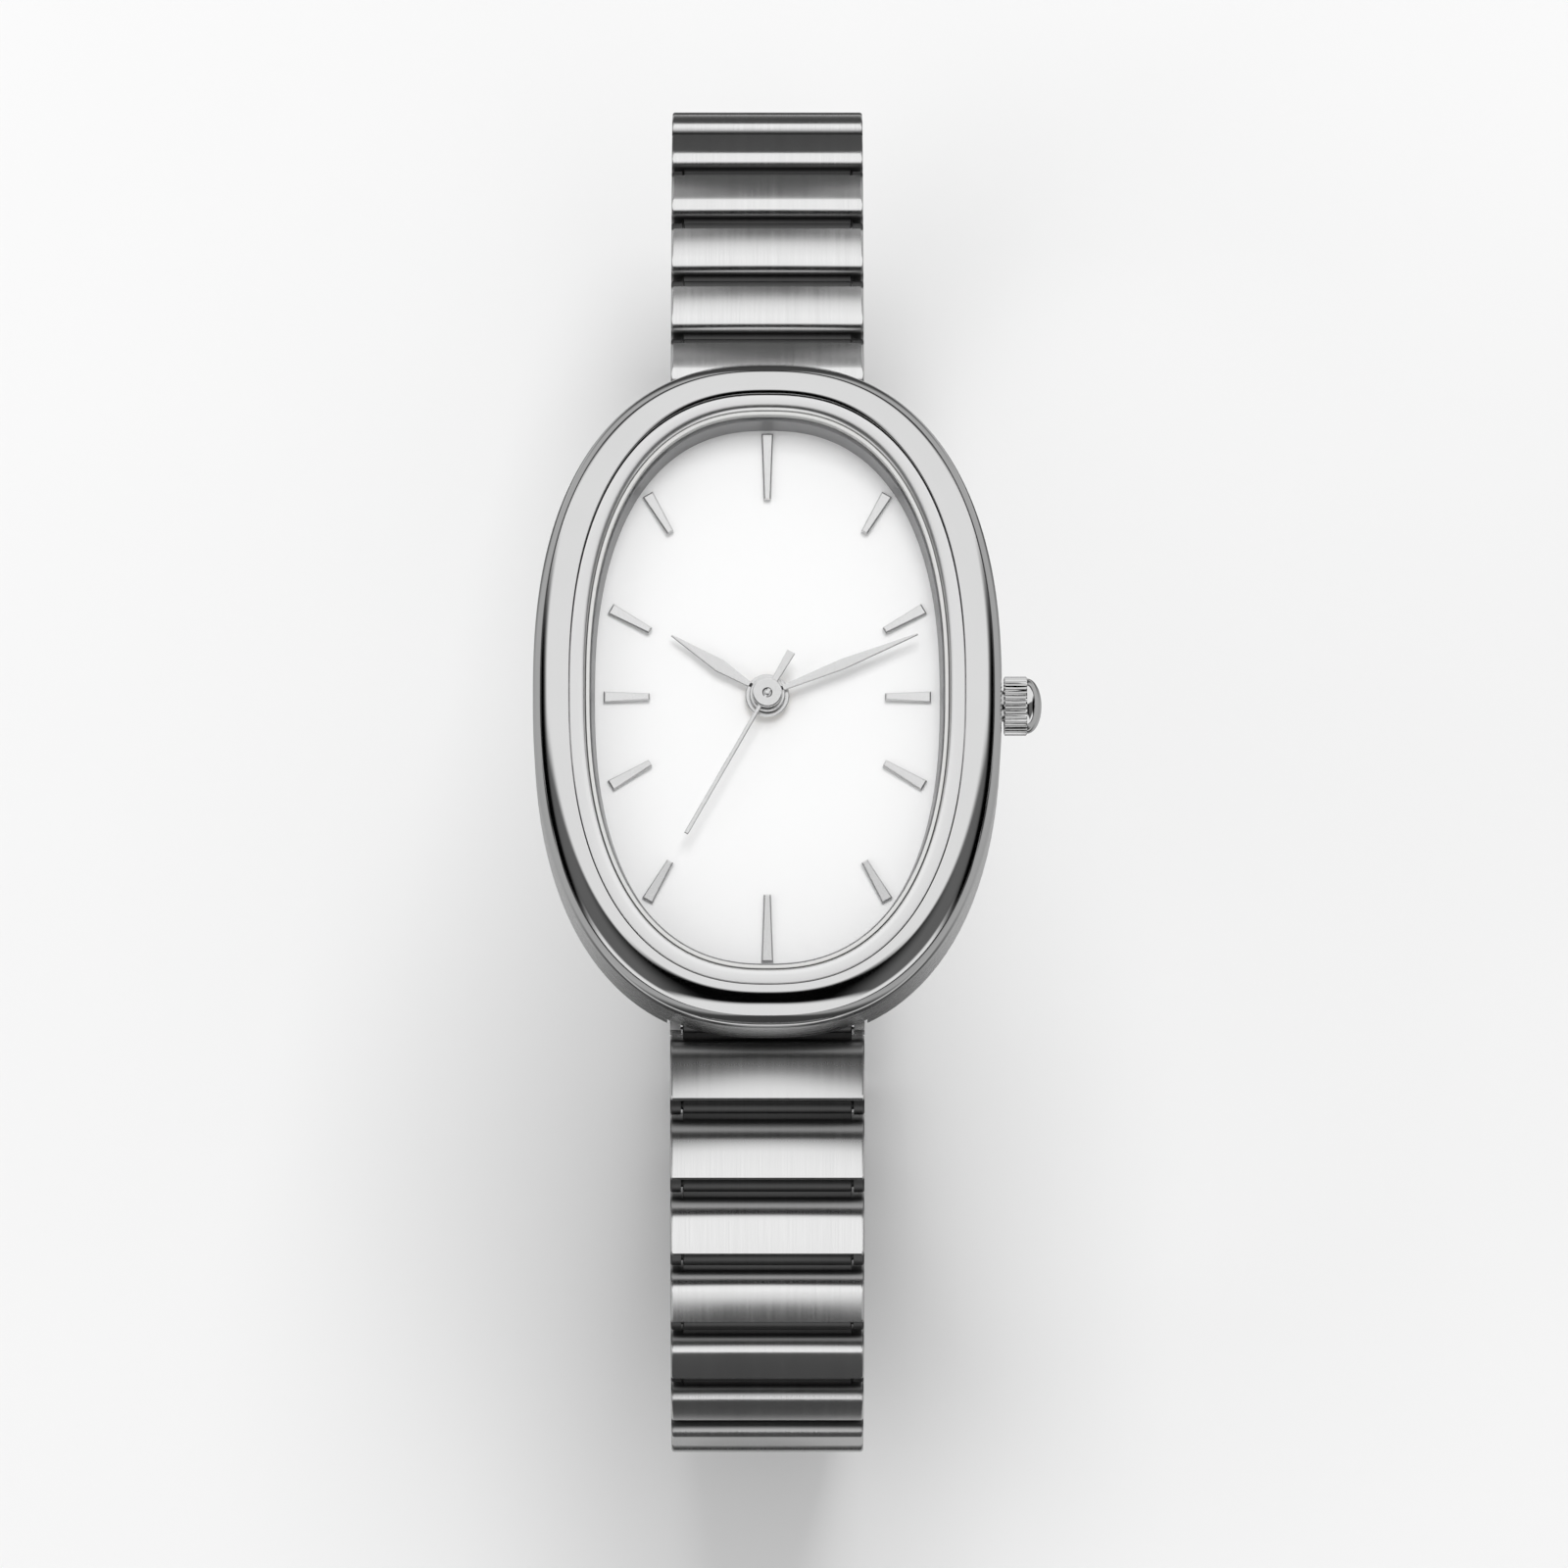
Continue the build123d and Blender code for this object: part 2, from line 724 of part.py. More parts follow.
# Caseback: a bevelled plate with a snap rim that enters the case
back_x = case_semi_x - caseback_inset
back_y = case_semi_y - caseback_inset
back_low = case_bottom - caseback_thickness
caseback = oval_stack(
    [
        (back_x - caseback_bevel, back_y - caseback_bevel, back_low),
        (back_x, back_y, back_low + caseback_bevel),
        (back_x, back_y, case_bottom),
    ]
)
rim_x = well_x - seated_fit
rim_y = well_y - seated_fit
caseback += oval_plate(rim_x, rim_y, case_bottom, case_bottom + caseback_rim_height) - oval_plate(
    rim_x - caseback_rim, rim_y - caseback_rim, case_bottom, case_bottom + caseback_rim_height
)
nodes["caseback"] = caseback

# Seal in the rebate above the caseback
nodes["caseback_gasket"] = oval_plate(
    well_x + seal_width - seated_fit,
    well_y + seal_width - seated_fit,
    case_bottom,
    case_bottom + seal_height,
) - oval_plate(well_x, well_y, case_bottom - cut_overrun, case_bottom + cut_overrun)

# Crown: fluted grip with a domed end, bored to slide over the tube
crown_outer_face = crown_inner_face + crown_grip
crown = bar_x(crown_radius, crown_inner_face, crown_outer_face, 0, crown_axis)
flute_radius = math.pi * crown_radius / crown_flutes / 2
for flute in range(crown_flutes):
    turn = 2 * math.pi * flute / crown_flutes
    reach = crown_radius + flute_radius - flute_depth
    crown -= bar_x(
        flute_radius,
        crown_inner_face - cut_overrun,
        crown_outer_face + cut_overrun,
        reach * math.cos(turn),
        crown_axis + reach * math.sin(turn),
    )
dome_profile = [(0, 0)]
for step in range(dome_steps + 1):
    turn = math.pi / 2 * step / dome_steps
    dome_profile.append(((crown_radius - flute_depth) * math.cos(turn), crown_dome * math.sin(turn)))
dome = revolve(Plane.XZ * make_face(Polyline(*dome_profile, close=True)), axis=Axis.Z)
crown += Pos(crown_outer_face, 0, crown_axis) * (Rot(0, 90, 0) * dome)
crown -= bar_x(
    tube_radius + face_gap,
    crown_inner_face - cut_overrun,
    tube_outer_end + face_gap,
    0,
    crown_axis,
)
crown -= bar_x(stem_radius + seated_fit, crown_inner_face, crown_outer_face, 0, crown_axis)
nodes["crown"] = crown

# Crown tube in the case wall
tube_inner_end = well_x - holder_play - dial_ledge
crown_tube = bar_x(tube_radius, tube_inner_end, tube_outer_end, 0, crown_axis)
crown_tube -= bar_x(tube_inner, tube_inner_end - cut_overrun, tube_outer_end + cut_overrun, 0, crown_axis)
nodes["crown_tube"] = crown_tube

# Stem with a groove for the keyless lever
stem = bar_x(stem_radius, stem_inner_end, crown_outer_face - seated_fit, 0, crown_axis)
groove_from = groove_x - groove_width / 2
groove_to = groove_x + groove_width / 2
groove = bar_x(stem_radius + face_gap, groove_from, groove_to, 0, crown_axis)
groove -= bar_x(groove_radius, groove_x - groove_width, groove_x + groove_width, 0, crown_axis)
nodes["stem"] = stem - groove

# Keyless lever: a small plate on the main plate whose pin rides in the stem's groove
lever_low = plate_top + face_gap
setting_lever = block(
    groove_x - lever_width / 2,
    groove_x + lever_width / 2,
    -lever_pin * 2,
    lever_length,
    lever_low,
    lever_low + lever_thickness,
)
setting_lever += rod(
    lever_pin, crown_axis + groove_radius + face_gap, lever_low + lever_thickness, groove_x, 0
)
nodes["setting_lever"] = setting_lever


def link_body():
    """One link along +Y from its inner pin at the origin, outer face towards +Z."""
    face_end = link_pitch - edge_before_pin
    face_middle = (face_start + rise_radius + face_end - edge_bevel) / 2
    rise_top = edge_height + (face_height - edge_height) / 3
    rise_foot = rise_top - rise_radius
    corner = rise_radius * (1 - math.sqrt(0.5))
    outline = [
        Line((face_start, -inner_depth), (face_start, rise_foot)),
        ThreePointArc(
            (face_start, rise_foot),
            (face_start + corner, rise_top - corner),
            (face_start + rise_radius, rise_top),
        ),
        ThreePointArc(
            (face_start + rise_radius, rise_top),
            (face_middle, face_height),
            (face_end - edge_bevel, edge_height),
        ),
        Line((face_end - edge_bevel, edge_height), (face_end, edge_height - edge_bevel)),
        Line((face_end, edge_height - edge_bevel), (face_end, -inner_depth)),
        Line((face_end, -inner_depth), (face_start, -inner_depth)),
    ]
    side = Plane.YZ * make_face(Wire(outline))
    body = extrude(side, amount=link_half, both=True)
    section = RectangleRounded(link_width, face_height + inner_depth, side_round)
    section = Plane.XZ * (Pos(0, (face_height - inner_depth) / 2) * section)
    body &= extrude(section, amount=-link_pitch)
    next_knuckle = knuckle_radius + knuckle_clear
    body -= bar_x(next_knuckle, -link_width, link_width, link_pitch, 0)
    ear_left = link_half - ear_width
    ear = bar_x(knuckle_radius, ear_left, link_half, link_pitch, 0)
    ear_root = link_pitch - next_knuckle - face_gap
    ear += block(ear_left, link_half, ear_root, link_pitch, -knuckle_radius, knuckle_radius)
    for side_ear in both_sides(ear):
        body += side_ear
    body -= bar_x(pin_radius + seated_fit, -bar_half - seated_fit, bar_half + seated_fit, link_pitch, 0)
    knuckle = bar_x(knuckle_radius, -knuckle_half, knuckle_half, 0, 0)
    knuckle += block(-knuckle_half, knuckle_half, 0, face_start + face_gap, -neck_half, neck_half)
    body += knuckle
    body -= bar_x(pin_radius + running_fit, -link_width, link_width, 0, 0)
    return body


def place_on_chain(shape, y, z, slope, side):
    """Turn a shape drawn along +Y to the slope of its link, on the 12 o'clock or 6 o'clock side."""
    facing = shape if side > 0 else Rot(0, 0, 180) * shape
    return Pos(0, y, z) * (Rot(-side * slope, 0, 0) * facing)


def chain_places(slopes, side):
    """Inner pin of each link and its slope, then the last outer pin."""
    y = side * first_pin_y
    z = first_pin_z
    places = []
    for slope in slopes:
        places.append((y, z, slope))
        y += side * link_pitch * math.cos(math.radians(slope))
        z -= link_pitch * math.sin(math.radians(slope))
    return places, (y, z)


# Both rows of links end at the same height: the last link at 6 o'clock takes the slope that does it
places_12h, end_12h = chain_places(slopes_12h, 1)
places_6h, before_last = chain_places(slopes_6h, -1)
last_drop = before_last[1] - end_12h[1]
last_slope = 180 - math.degrees(math.asin(last_drop / link_pitch))
places_6h, end_6h = chain_places(slopes_6h + (last_slope,), -1)
head_level = clasp_pin_height - end_12h[1]

link_shape = link_body()
link_pin = bar_x(pin_radius, -bar_half, bar_half, link_pitch, 0)
for side, hour_name, places in ((1, "12h", places_12h), (-1, "6h", places_6h)):
    for number, (y, z, slope) in enumerate(places, start=1):
        nodes[f"link_{hour_name}_{number:02d}"] = Compound(
            children=[
                place_on_chain(link_shape, y, z, slope, side),
                place_on_chain(link_pin, y, z, slope, side),
            ]
        )
        print(f"link_{hour_name}_{number:02d} inner pin y {y:.3f} z {z + head_level:.3f} slope {slope:.2f}")

# Lift the head and the bracelet so that the clasp pins reach their height
for name in nodes:
    nodes[name] = Pos(0, 0, head_level) * nodes[name]

# Clasp frame: a channel hung on the last 12 o'clock pin, open towards the cover
clasp_from = end_12h[0]
clasp_to = end_6h[0] + knuckle_radius + catch_gap
hinge_y = clasp_from - cover_hinge_inboard
hinge_z = cover_hinge_radius
plate_low = hinge_z + cover_hinge_radius + frame_play
plate_high = plate_low + frame_plate
wall_out = link_half - side_play
wall_in = wall_out - frame_wall
clasp_frame = bar_x(knuckle_radius, -knuckle_half, knuckle_half, clasp_from, clasp_pin_height)
clasp_frame += block(-knuckle_half, knuckle_half, hinge_y, clasp_from, plate_low, plate_high)
clasp_frame += block(-wall_out, wall_out, clasp_to, hinge_y + cover_hinge_radius, plate_low, plate_high)
for wall in both_sides(
    block(wall_in, wall_out, clasp_to, hinge_y + cover_hinge_radius, hinge_z, plate_high)
):
    clasp_frame += wall
for boss in both_sides(
    bar_x(cover_hinge_radius - frame_play, wall_in, wall_out, hinge_y, hinge_z)
):
    clasp_frame += boss
clasp_frame -= bar_x(pin_radius + running_fit, -link_width, link_width, clasp_from, clasp_pin_height)
clasp_frame -= bar_x(cover_hinge_pin + seated_fit, -wall_out, wall_out, hinge_y, hinge_z)
hinge_pin_half = wall_out - pin_end_gap
hinge_pin = bar_x(cover_hinge_pin, -hinge_pin_half, hinge_pin_half, hinge_y, hinge_z)
nodes["clasp_frame"] = Compound(children=[clasp_frame, hinge_pin])

# Clasp cover: a flat plate with a hinge knuckle at one end and a snap block at the other
cover_half = wall_in - frame_play
cover_end = hinge_y - cover_hinge_radius - frame_play
clasp_cover = block(-wall_out, wall_out, clasp_to, cover_end, 0, cover_thickness)
clasp_cover += block(-cover_half, cover_half, clasp_to, hinge_y, 0, cover_thickness)
clasp_cover += bar_x(cover_hinge_radius, -cover_half, cover_half, hinge_y, hinge_z)
clasp_cover += block(
    -cover_half / 2, cover_half / 2, clasp_to, clasp_to + catch_length, 0, plate_low - frame_play
)
clasp_cover -= bar_x(cover_hinge_pin + running_fit, -link_width, link_width, hinge_y, hinge_z)
nodes["clasp_cover"] = clasp_cover

print(f"head level {head_level:.3f}, clasp from y {clasp_to:.3f} to {clasp_from:.3f}")
os.makedirs("parts", exist_ok=True)
for name, shape in nodes.items():
    shape.label = name
    export_step(shape, f"parts/{name}.step")
print(f"{len(nodes)} nodes written")
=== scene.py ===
# %% [markdown]
# # An oval wristwatch, dressed over its packed frame
#
# The frame holds every piece of the watch at its real size, in metres, standing on its clasp.
# This file gives each visible piece a smooth surface and a finish, and sets a small studio round it.
# It begins with the frame, because every later size is read from it.

# %% The frame and its box
import json
import math

import bmesh
import bpy
import numpy as np
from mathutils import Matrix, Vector


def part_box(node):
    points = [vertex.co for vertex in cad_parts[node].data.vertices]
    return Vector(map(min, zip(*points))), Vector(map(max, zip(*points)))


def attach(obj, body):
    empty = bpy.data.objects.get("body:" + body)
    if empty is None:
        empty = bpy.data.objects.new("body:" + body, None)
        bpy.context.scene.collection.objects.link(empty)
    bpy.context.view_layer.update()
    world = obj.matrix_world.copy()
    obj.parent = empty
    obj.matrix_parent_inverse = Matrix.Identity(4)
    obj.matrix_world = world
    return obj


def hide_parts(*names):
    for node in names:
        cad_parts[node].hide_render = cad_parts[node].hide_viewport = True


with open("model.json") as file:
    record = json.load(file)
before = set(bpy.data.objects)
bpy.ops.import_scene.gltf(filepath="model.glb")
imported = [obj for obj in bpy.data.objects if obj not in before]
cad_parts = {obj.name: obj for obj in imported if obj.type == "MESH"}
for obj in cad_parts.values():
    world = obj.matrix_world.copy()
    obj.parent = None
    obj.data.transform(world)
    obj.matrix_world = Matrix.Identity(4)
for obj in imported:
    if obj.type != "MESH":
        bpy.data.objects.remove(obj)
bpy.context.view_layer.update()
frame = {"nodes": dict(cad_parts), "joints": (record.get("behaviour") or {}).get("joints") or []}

MM = 0.001
JOINT_PLACES = {joint["name"]: joint.get("pos_m") for joint in frame["joints"]}

# %% [markdown]
# ## Surfaces from grids
#
# A steel case, a bezel or a link is a skin that closes on itself. Each could be modelled by hand with
# extrusions, or cut with Booleans, but a skin that is worked out as rings of points is smoother and stays
# exact when the frame changes. So every new piece here is a stack of closed rings, and one helper joins
# neighbouring rings with four-sided faces.

# %% Rings joined into a skin
def skin(rings, closed=False):
    """Points and faces of a stack of rings, an array of shape (rings, points, 3).

    Point j of ring i joins points j and j + 1 of ring i + 1, counted round the ring. A closed stack also
    joins its last ring to its first; an open one gets a flat lid at each end."""
    count, around = rings.shape[:2]
    i, j = np.meshgrid(np.arange(count if closed else count - 1), np.arange(around), indexing="ij")
    upper = (i + 1) % count
    beside = (j + 1) % around
    corners = (i * around + j, i * around + beside, upper * around + beside, upper * around + j)
    faces = np.stack(corners, axis=-1).reshape(-1, 4).tolist()
    if not closed:
        faces.append(list(range(around)))
        faces.append(list(range((count - 1) * around, count * around)))
    return rings.reshape(-1, 3), faces


def joined(skins):
    """Several skins as one: the numbers in each one's faces move up by the points before it."""
    points = np.concatenate([part[0] for part in skins])
    faces = []
    before = 0
    for part_points, part_faces in skins:
        faces += [[corner + before for corner in face] for face in part_faces]
        before += len(part_points)
    return points, faces


print("faces of a box made of two rings of four points:", len(skin(np.zeros((2, 4, 3)))[1]))

# %% [markdown]
# ## From a skin to a piece
#
# A skin becomes a piece when it is a mesh with a finish that hangs on a body of the watch. Rings may come
# out inside out, so Blender turns all faces outwards. Flat shading would show every strip of faces, and
# smooth shading would smear the edges, so faces are smooth except where two meet at more than an angle.

# %% A skin as a piece of the watch
SMOOTH_ANGLE = math.radians(28)


def added(name, data):
    """A new object of the scene, at the origin."""
    made = bpy.data.objects.new(name, data)
    bpy.context.scene.collection.objects.link(made)
    return made


def piece(name, surface, body, material, nodes, smooth_angle=SMOOTH_ANGLE):
    """Make an object from a skin, with its faces outwards, and hang it on its body."""
    points, faces = surface
    mesh = bpy.data.meshes.new(name)
    mesh.from_pydata(points.tolist(), [], faces)
    work = bmesh.new()
    work.from_mesh(mesh)
    bmesh.ops.recalc_face_normals(work, faces=work.faces)
    work.to_mesh(mesh)
    work.free()
    mesh.polygons.foreach_set("use_smooth", np.ones(len(mesh.polygons), bool))
    mesh.set_sharp_from_angle(angle=smooth_angle)
    mesh.materials.append(material)
    made = added(name, mesh)
    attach(made, body)
    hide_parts(*nodes)
    print(name, "has", len(faces), "faces")
    return made


# %% [markdown]
# ## The oval
#
# The case is a little squarer than an ellipse: its outline is a superellipse, the same curve for the
# bezel, the crystal and the dial, each drawn in by its own inset. A table of traced points would go stale,
# so the curve is a formula, and a section of inset and height pairs is carried round it.

# %% Superellipse and the rings that follow it
OUTLINE_POWER = 2.4
AROUND = 288
turns = np.linspace(0, 2 * math.pi, AROUND, endpoint=False)
power_sum = np.abs(np.cos(turns)) ** OUTLINE_POWER + np.abs(np.sin(turns)) ** OUTLINE_POWER
reach = power_sum ** (-1 / OUTLINE_POWER)
UNIT_OVAL = np.stack([reach * np.cos(turns), reach * np.sin(turns)], axis=-1)


def semi_axes(node):
    """Half width, half height, lowest and highest level of a node that is centred on the dial's axis."""
    low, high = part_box(node)
    return np.array([high.x, high.y]), low.z, high.z


def oval_rings(semi, section):
    """Carry a section of (inset, level) pairs round the oval: (semi - inset) times the unit curve."""
    section = np.asarray(section, float)
    flat = (semi - section[:, :1])[:, None, :] * UNIT_OVAL[None]
    level = np.broadcast_to(section[:, None, 1:], flat.shape[:2] + (1,))
    return np.concatenate([flat, level], axis=-1)


def oval_piece(name, node, section, material, closed=True):
    """A section carried round a node's oval, on the case in that node's place."""
    semi = semi_axes(node)[0]
    return piece(name, skin(oval_rings(semi, section), closed), "case", material, [node])


dial_semi, dial_low, dial_high = semi_axes("dial")
print("dial semi axes in mm:", np.round(dial_semi / MM, 2), "and its level:", round(dial_high / MM, 3))

# %% [markdown]
# A real edge is never perfectly sharp. A Bevel modifier could break the edges, but rounding the corners
# of the section itself gives even faces all round.

# %% Rounded corners of a section
LONGEST_CUT = 0.49
SAME_POINT = 1e-8


def softened(corners, cut, steps=5):
    """Round the corners of a closed outline.

    Each corner is cut back along both of its sides, and a parabola joins the two cuts:
    (1 - t)^2 a + 2 t (1 - t) corner + t^2 b. No cut takes half of a side."""
    corners = np.asarray(corners, float)
    cut = np.broadcast_to(np.asarray(cut, float), len(corners))
    to_before = np.roll(corners, 1, axis=0) - corners
    to_after = np.roll(corners, -1, axis=0) - corners
    share_before = np.minimum(cut / np.linalg.norm(to_before, axis=1), LONGEST_CUT)[:, None]
    share_after = np.minimum(cut / np.linalg.norm(to_after, axis=1), LONGEST_CUT)[:, None]
    a = (corners + to_before * share_before)[:, None]
    b = (corners + to_after * share_after)[:, None]
    t = np.linspace(0, 1, steps + 1)[None, :, None]
    points = ((1 - t) ** 2 * a + 2 * t * (1 - t) * corners[:, None] + t**2 * b).reshape(-1, 2)
    apart = np.linalg.norm(np.roll(points, -1, axis=0) - points, axis=1) > SAME_POINT
    return points[apart]


print("points of a square with round corners:", len(softened([[0, 0], [0, 1], [1, 1], [1, 0]], 0.2)))

# %% [markdown]
# ## Writing shaders as sums
#
# A finish is mostly arithmetic on patterns: so much roughness, plus a little where the grain is coarse.
# Nodes could be placed and linked one by one, but the sums would be hard to see. A small class wraps a
# socket and turns each operator into a Math node, so a finish reads like its formula.

# %% A socket that can be added and multiplied
class Value:
    """A number that varies over a surface."""

    def __init__(self, tree, socket):
        self.tree = tree
        self.socket = socket

    def math(self, operation, first, second):
        return self.tree.node("ShaderNodeMath", {"operation": operation}, {0: first, 1: second})

    def __add__(self, other):
        return self.math("ADD", self, other)

    __radd__ = __add__

    def __mul__(self, other):
        return self.math("MULTIPLY", self, other)

    __rmul__ = __mul__

    def __sub__(self, other):
        return self.math("SUBTRACT", self, other)

    def __rsub__(self, other):
        return self.math("SUBTRACT", other, self)


def grey(level):
    return (level, level, level, 1.0)


def rgba(colour, scale=1.0):
    """A colour with its channels scaled, held at 1."""
    return (*(min(1.0, channel * scale) for channel in colour), 1.0)


print("grey of level 0.5:", grey(0.5))

# %% [markdown]
# Everything that isn't arithmetic goes through one method, which takes a node's type, its settings and
# what its sockets get. The sky needs the same tools as the finishes, so a class holds them for any tree.

# %% A node tree
class Tree:
    """A node tree being filled in."""

    def __init__(self, tree):
        self.tree = tree

    def node(self, kind, settings=None, sockets=None, output=0):
        """Add a node: its settings first, then the values or links of its sockets."""
        made = self.tree.nodes.new(kind)
        for name, value in (settings or {}).items():
            setattr(made, name, value)
        for name, value in (sockets or {}).items():
            if isinstance(value, Value):
                self.tree.links.new(value.socket, made.inputs[name])
            else:
                made.inputs[name].default_value = value
        return Value(self, made.outputs[output])

    def step(self, value, start, end, low=0.0, high=1.0):
        """A smooth climb from low to high while the value goes from start to end."""
        sockets = {"Value": value, "From Min": start, "From Max": end, "To Min": low, "To Max": high}
        return self.node("ShaderNodeMapRange", {"interpolation_type": "SMOOTHSTEP"}, sockets)

    def band(self, value, rise, fall):
        """1 between a climb over the rise and a descent over the fall, and 0 outside them."""
        return self.step(value, *rise) * self.step(value, *fall)

    def blend(self, mask, colour_a, colour_b):
        """Colour A where the mask is 0, and colour B where it is 1."""
        sockets = {0: mask, 6: colour_a, 7: colour_b}
        return self.node("ShaderNodeMix", {"data_type": "RGBA"}, sockets, output=2)

    def part(self, vector, axis):
        return self.node("ShaderNodeSeparateXYZ", None, {0: vector}, axis)

    def unsigned(self, vector):
        return self.node("ShaderNodeVectorMath", {"operation": "ABSOLUTE"}, {0: vector})

    def is_ray(self, kind):
        """1 for a ray of this kind, such as Glossy, and 0 for any other."""
        return self.node("ShaderNodeLightPath", output=f"Is {kind} Ray")


print("tools of a tree:", [name for name in vars(Tree) if not name.startswith("_")])

# %% [markdown]
# A finish is such a tree with a Principled shader at its end. What is the same all over a piece is set on
# the shader itself, and patterns in the piece's own coordinates feed the rest.

# %% A finish
NOISE_ROUGHNESS = 0.55


class Finish(Tree):
    """A material; its constants are named as the shader's sockets, with _ for a space."""

    def __init__(self, name, **constants):
        self.material = bpy.data.materials.new(name)
        self.material.use_nodes = True
        super().__init__(self.material.node_tree)
        self.shader = self.tree.nodes["Principled BSDF"]
        self.output = self.tree.nodes["Material Output"]
        for socket, value in constants.items():
            self.shader.inputs[socket.replace("_", " ")].default_value = value

    def set(self, socket, value):
        self.tree.links.new(value.socket, self.shader.inputs[socket])

    def place(self, stretch=(1, 1, 1)):
        """The point on the piece in metres, stretched along each axis."""
        point = self.node("ShaderNodeTexCoord", output="Object")
        return self.node("ShaderNodeMapping", {"vector_type": "POINT"}, {"Vector": point, "Scale": stretch})

    def noise(self, pitch, stretch=(1, 1, 1), detail=2.0):
        """Cloudy noise from 0 to 1 whose lumps are about one pitch across."""
        sockets = {"Vector": self.place(stretch), "Scale": 1 / pitch, "Detail": detail}
        sockets["Roughness"] = NOISE_ROUGHNESS
        return self.node("ShaderNodeTexNoise", None, sockets)

    def bump(self, height, distance, strength):
        sockets = {"Height": height, "Distance": distance, "Strength": strength}
        self.set("Normal", self.node("ShaderNodeBump", None, sockets))


print("tools of a finish:", [name for name in vars(Finish) if not name.startswith("_")])


# %% [markdown]
# ## Steel
#
# The bezel, the crystal's ring and the crown are mirror-polished steel. A perfect mirror looks like
# plastic wrap, so the roughness drifts a little, as it does where a cloth has been. The bracelet is
# satin steel: fine scratches run along the band, so the noise is stretched along Y and Z and left fine
# across X, which follows the band wherever it curls. The brush doesn't reach a link's rise and hollow,
# and shade falls there in the gaps, so the link's raw share turns the steel dull and dark: a raw
# finish together with painted shade.

# %% Polished and satin steel
HAZE_PITCH = 4 * MM
SPECK_PITCH = 0.25 * MM
RIPPLE_PITCH = 2.5 * MM
RIPPLE_DEPTH = 0.4e-6
HAIRLINE_PITCH = 0.07 * MM
STREAK_PITCH = 0.45 * MM
SCRATCH_STRETCH = 0.02
SCRATCH_DEPTH = 0.8e-6
RAW_AND_SHADE_SHARE = "raw_and_shade_share"
# painted shade: the raw grey is dark for the shade in the gaps between links as well as for the raw finish
RAW_SHADE_LEVEL = 0.10
RAW_ROUGHNESS = 0.42


def polished_steel(name, level, roughness):
    finish = Finish(name, Metallic=1.0)
    haze = finish.noise(HAZE_PITCH)
    specks = finish.noise(SPECK_PITCH)
    finish.set("Roughness", roughness + haze * 0.03 + specks * 0.01)
    finish.set("Base Color", finish.blend(haze, grey(level * 0.97), grey(level * 1.03)))
    finish.bump(finish.noise(RIPPLE_PITCH), RIPPLE_DEPTH, 0.5)
    return finish.material


def satin_steel(name, level, roughness, fine_axis=0, with_raw_and_shade=False):
    """Scratches that are fine along one axis and long across the other two. Where the mesh carries a raw
    share, the finish falls off to a dark grey: the dull grey of an unbrushed casting together with
    painted shade in the gaps between links."""
    finish = Finish(name, Metallic=1.0)
    stretch = [SCRATCH_STRETCH] * 3
    stretch[fine_axis] = 1.0
    hairlines = finish.noise(HAIRLINE_PITCH, stretch, 3.0)
    streaks = finish.noise(STREAK_PITCH, stretch, 2.0)
    grain = 0.6 * hairlines + 0.4 * streaks
    rough = (roughness - 0.06) + grain * 0.12
    colour = finish.blend(grain, grey(level * 0.86), grey(level * 1.12))
    if with_raw_and_shade:
        # painted shade: the raw share darkens the steel where shade falls in the gaps between links
        raw = finish.node("ShaderNodeAttribute", {"attribute_name": RAW_AND_SHADE_SHARE}, output="Fac")
        raw_shade_colour = finish.blend(grain, grey(RAW_SHADE_LEVEL * 0.8), grey(RAW_SHADE_LEVEL * 1.2))
        rough = rough + raw * (RAW_ROUGHNESS - roughness)
        colour = finish.blend(raw, colour, raw_shade_colour)
    finish.set("Roughness", rough)
    finish.set("Base Color", colour)
    finish.bump(grain, SCRATCH_DEPTH, 0.6)
    return finish.material


bezel_steel = polished_steel("bezel_polished_steel", 0.74, 0.045)
ring_steel = polished_steel("ring_polished_steel", 0.88, 0.27)
crown_steel = polished_steel("crown_polished_steel", 0.78, 0.05)
pin_steel = polished_steel("pin_turned_steel", 0.62, 0.14)
link_steel = satin_steel("link_satin_steel", 0.88, 0.21, with_raw_and_shade=True)
case_steel = satin_steel("case_satin_steel", 0.90, 0.27, fine_axis=2)
back_steel = satin_steel("caseback_satin_steel", 0.78, 0.26)
clasp_steel = satin_steel("clasp_satin_steel", 0.80, 0.24)
print("nodes in the links' finish:", len(link_steel.node_tree.nodes))

# %% [markdown]
# ## Glass, dial and silver
#
# Light has to reach the dial through the crystal, and a refracting shader would shade it. A flat pane
# hardly bends what is behind it, so the crystal mixes clear transparency with a mirror by Fresnel's
# share, on its outside alone. The dial is white lacquer with a faint grain, with painted shade that
# greys it towards 6.

# %% Crystal, dial and silver finishes
GLASS_IOR = 1.45
GLASS_CLEAR = 0.985
DIAL_WHITE = 0.93
# painted shade: the grey that the dial's white turns towards 6 o'clock
DIAL_PAINTED_SHADE = 0.88
PAINTED_SHADE_FROM = 0.35
PAINTED_SHADE_OVER = 0.60


def crystal_glass(name):
    finish = Finish(name)
    inside = finish.node("ShaderNodeNewGeometry", output="Backfacing")
    share = finish.node("ShaderNodeFresnel", None, {"IOR": GLASS_IOR}) * (1 - inside)
    clear = finish.node("ShaderNodeBsdfTransparent", None, {"Color": grey(GLASS_CLEAR)})
    mirror = finish.node("ShaderNodeBsdfGlossy", None, {"Color": grey(1.0), "Roughness": 0.02})
    pane = finish.node("ShaderNodeMixShader", None, {0: share, 1: clear, 2: mirror})
    finish.tree.links.new(pane.socket, finish.output.inputs["Surface"])
    finish.tree.nodes.remove(finish.shader)
    return finish.material


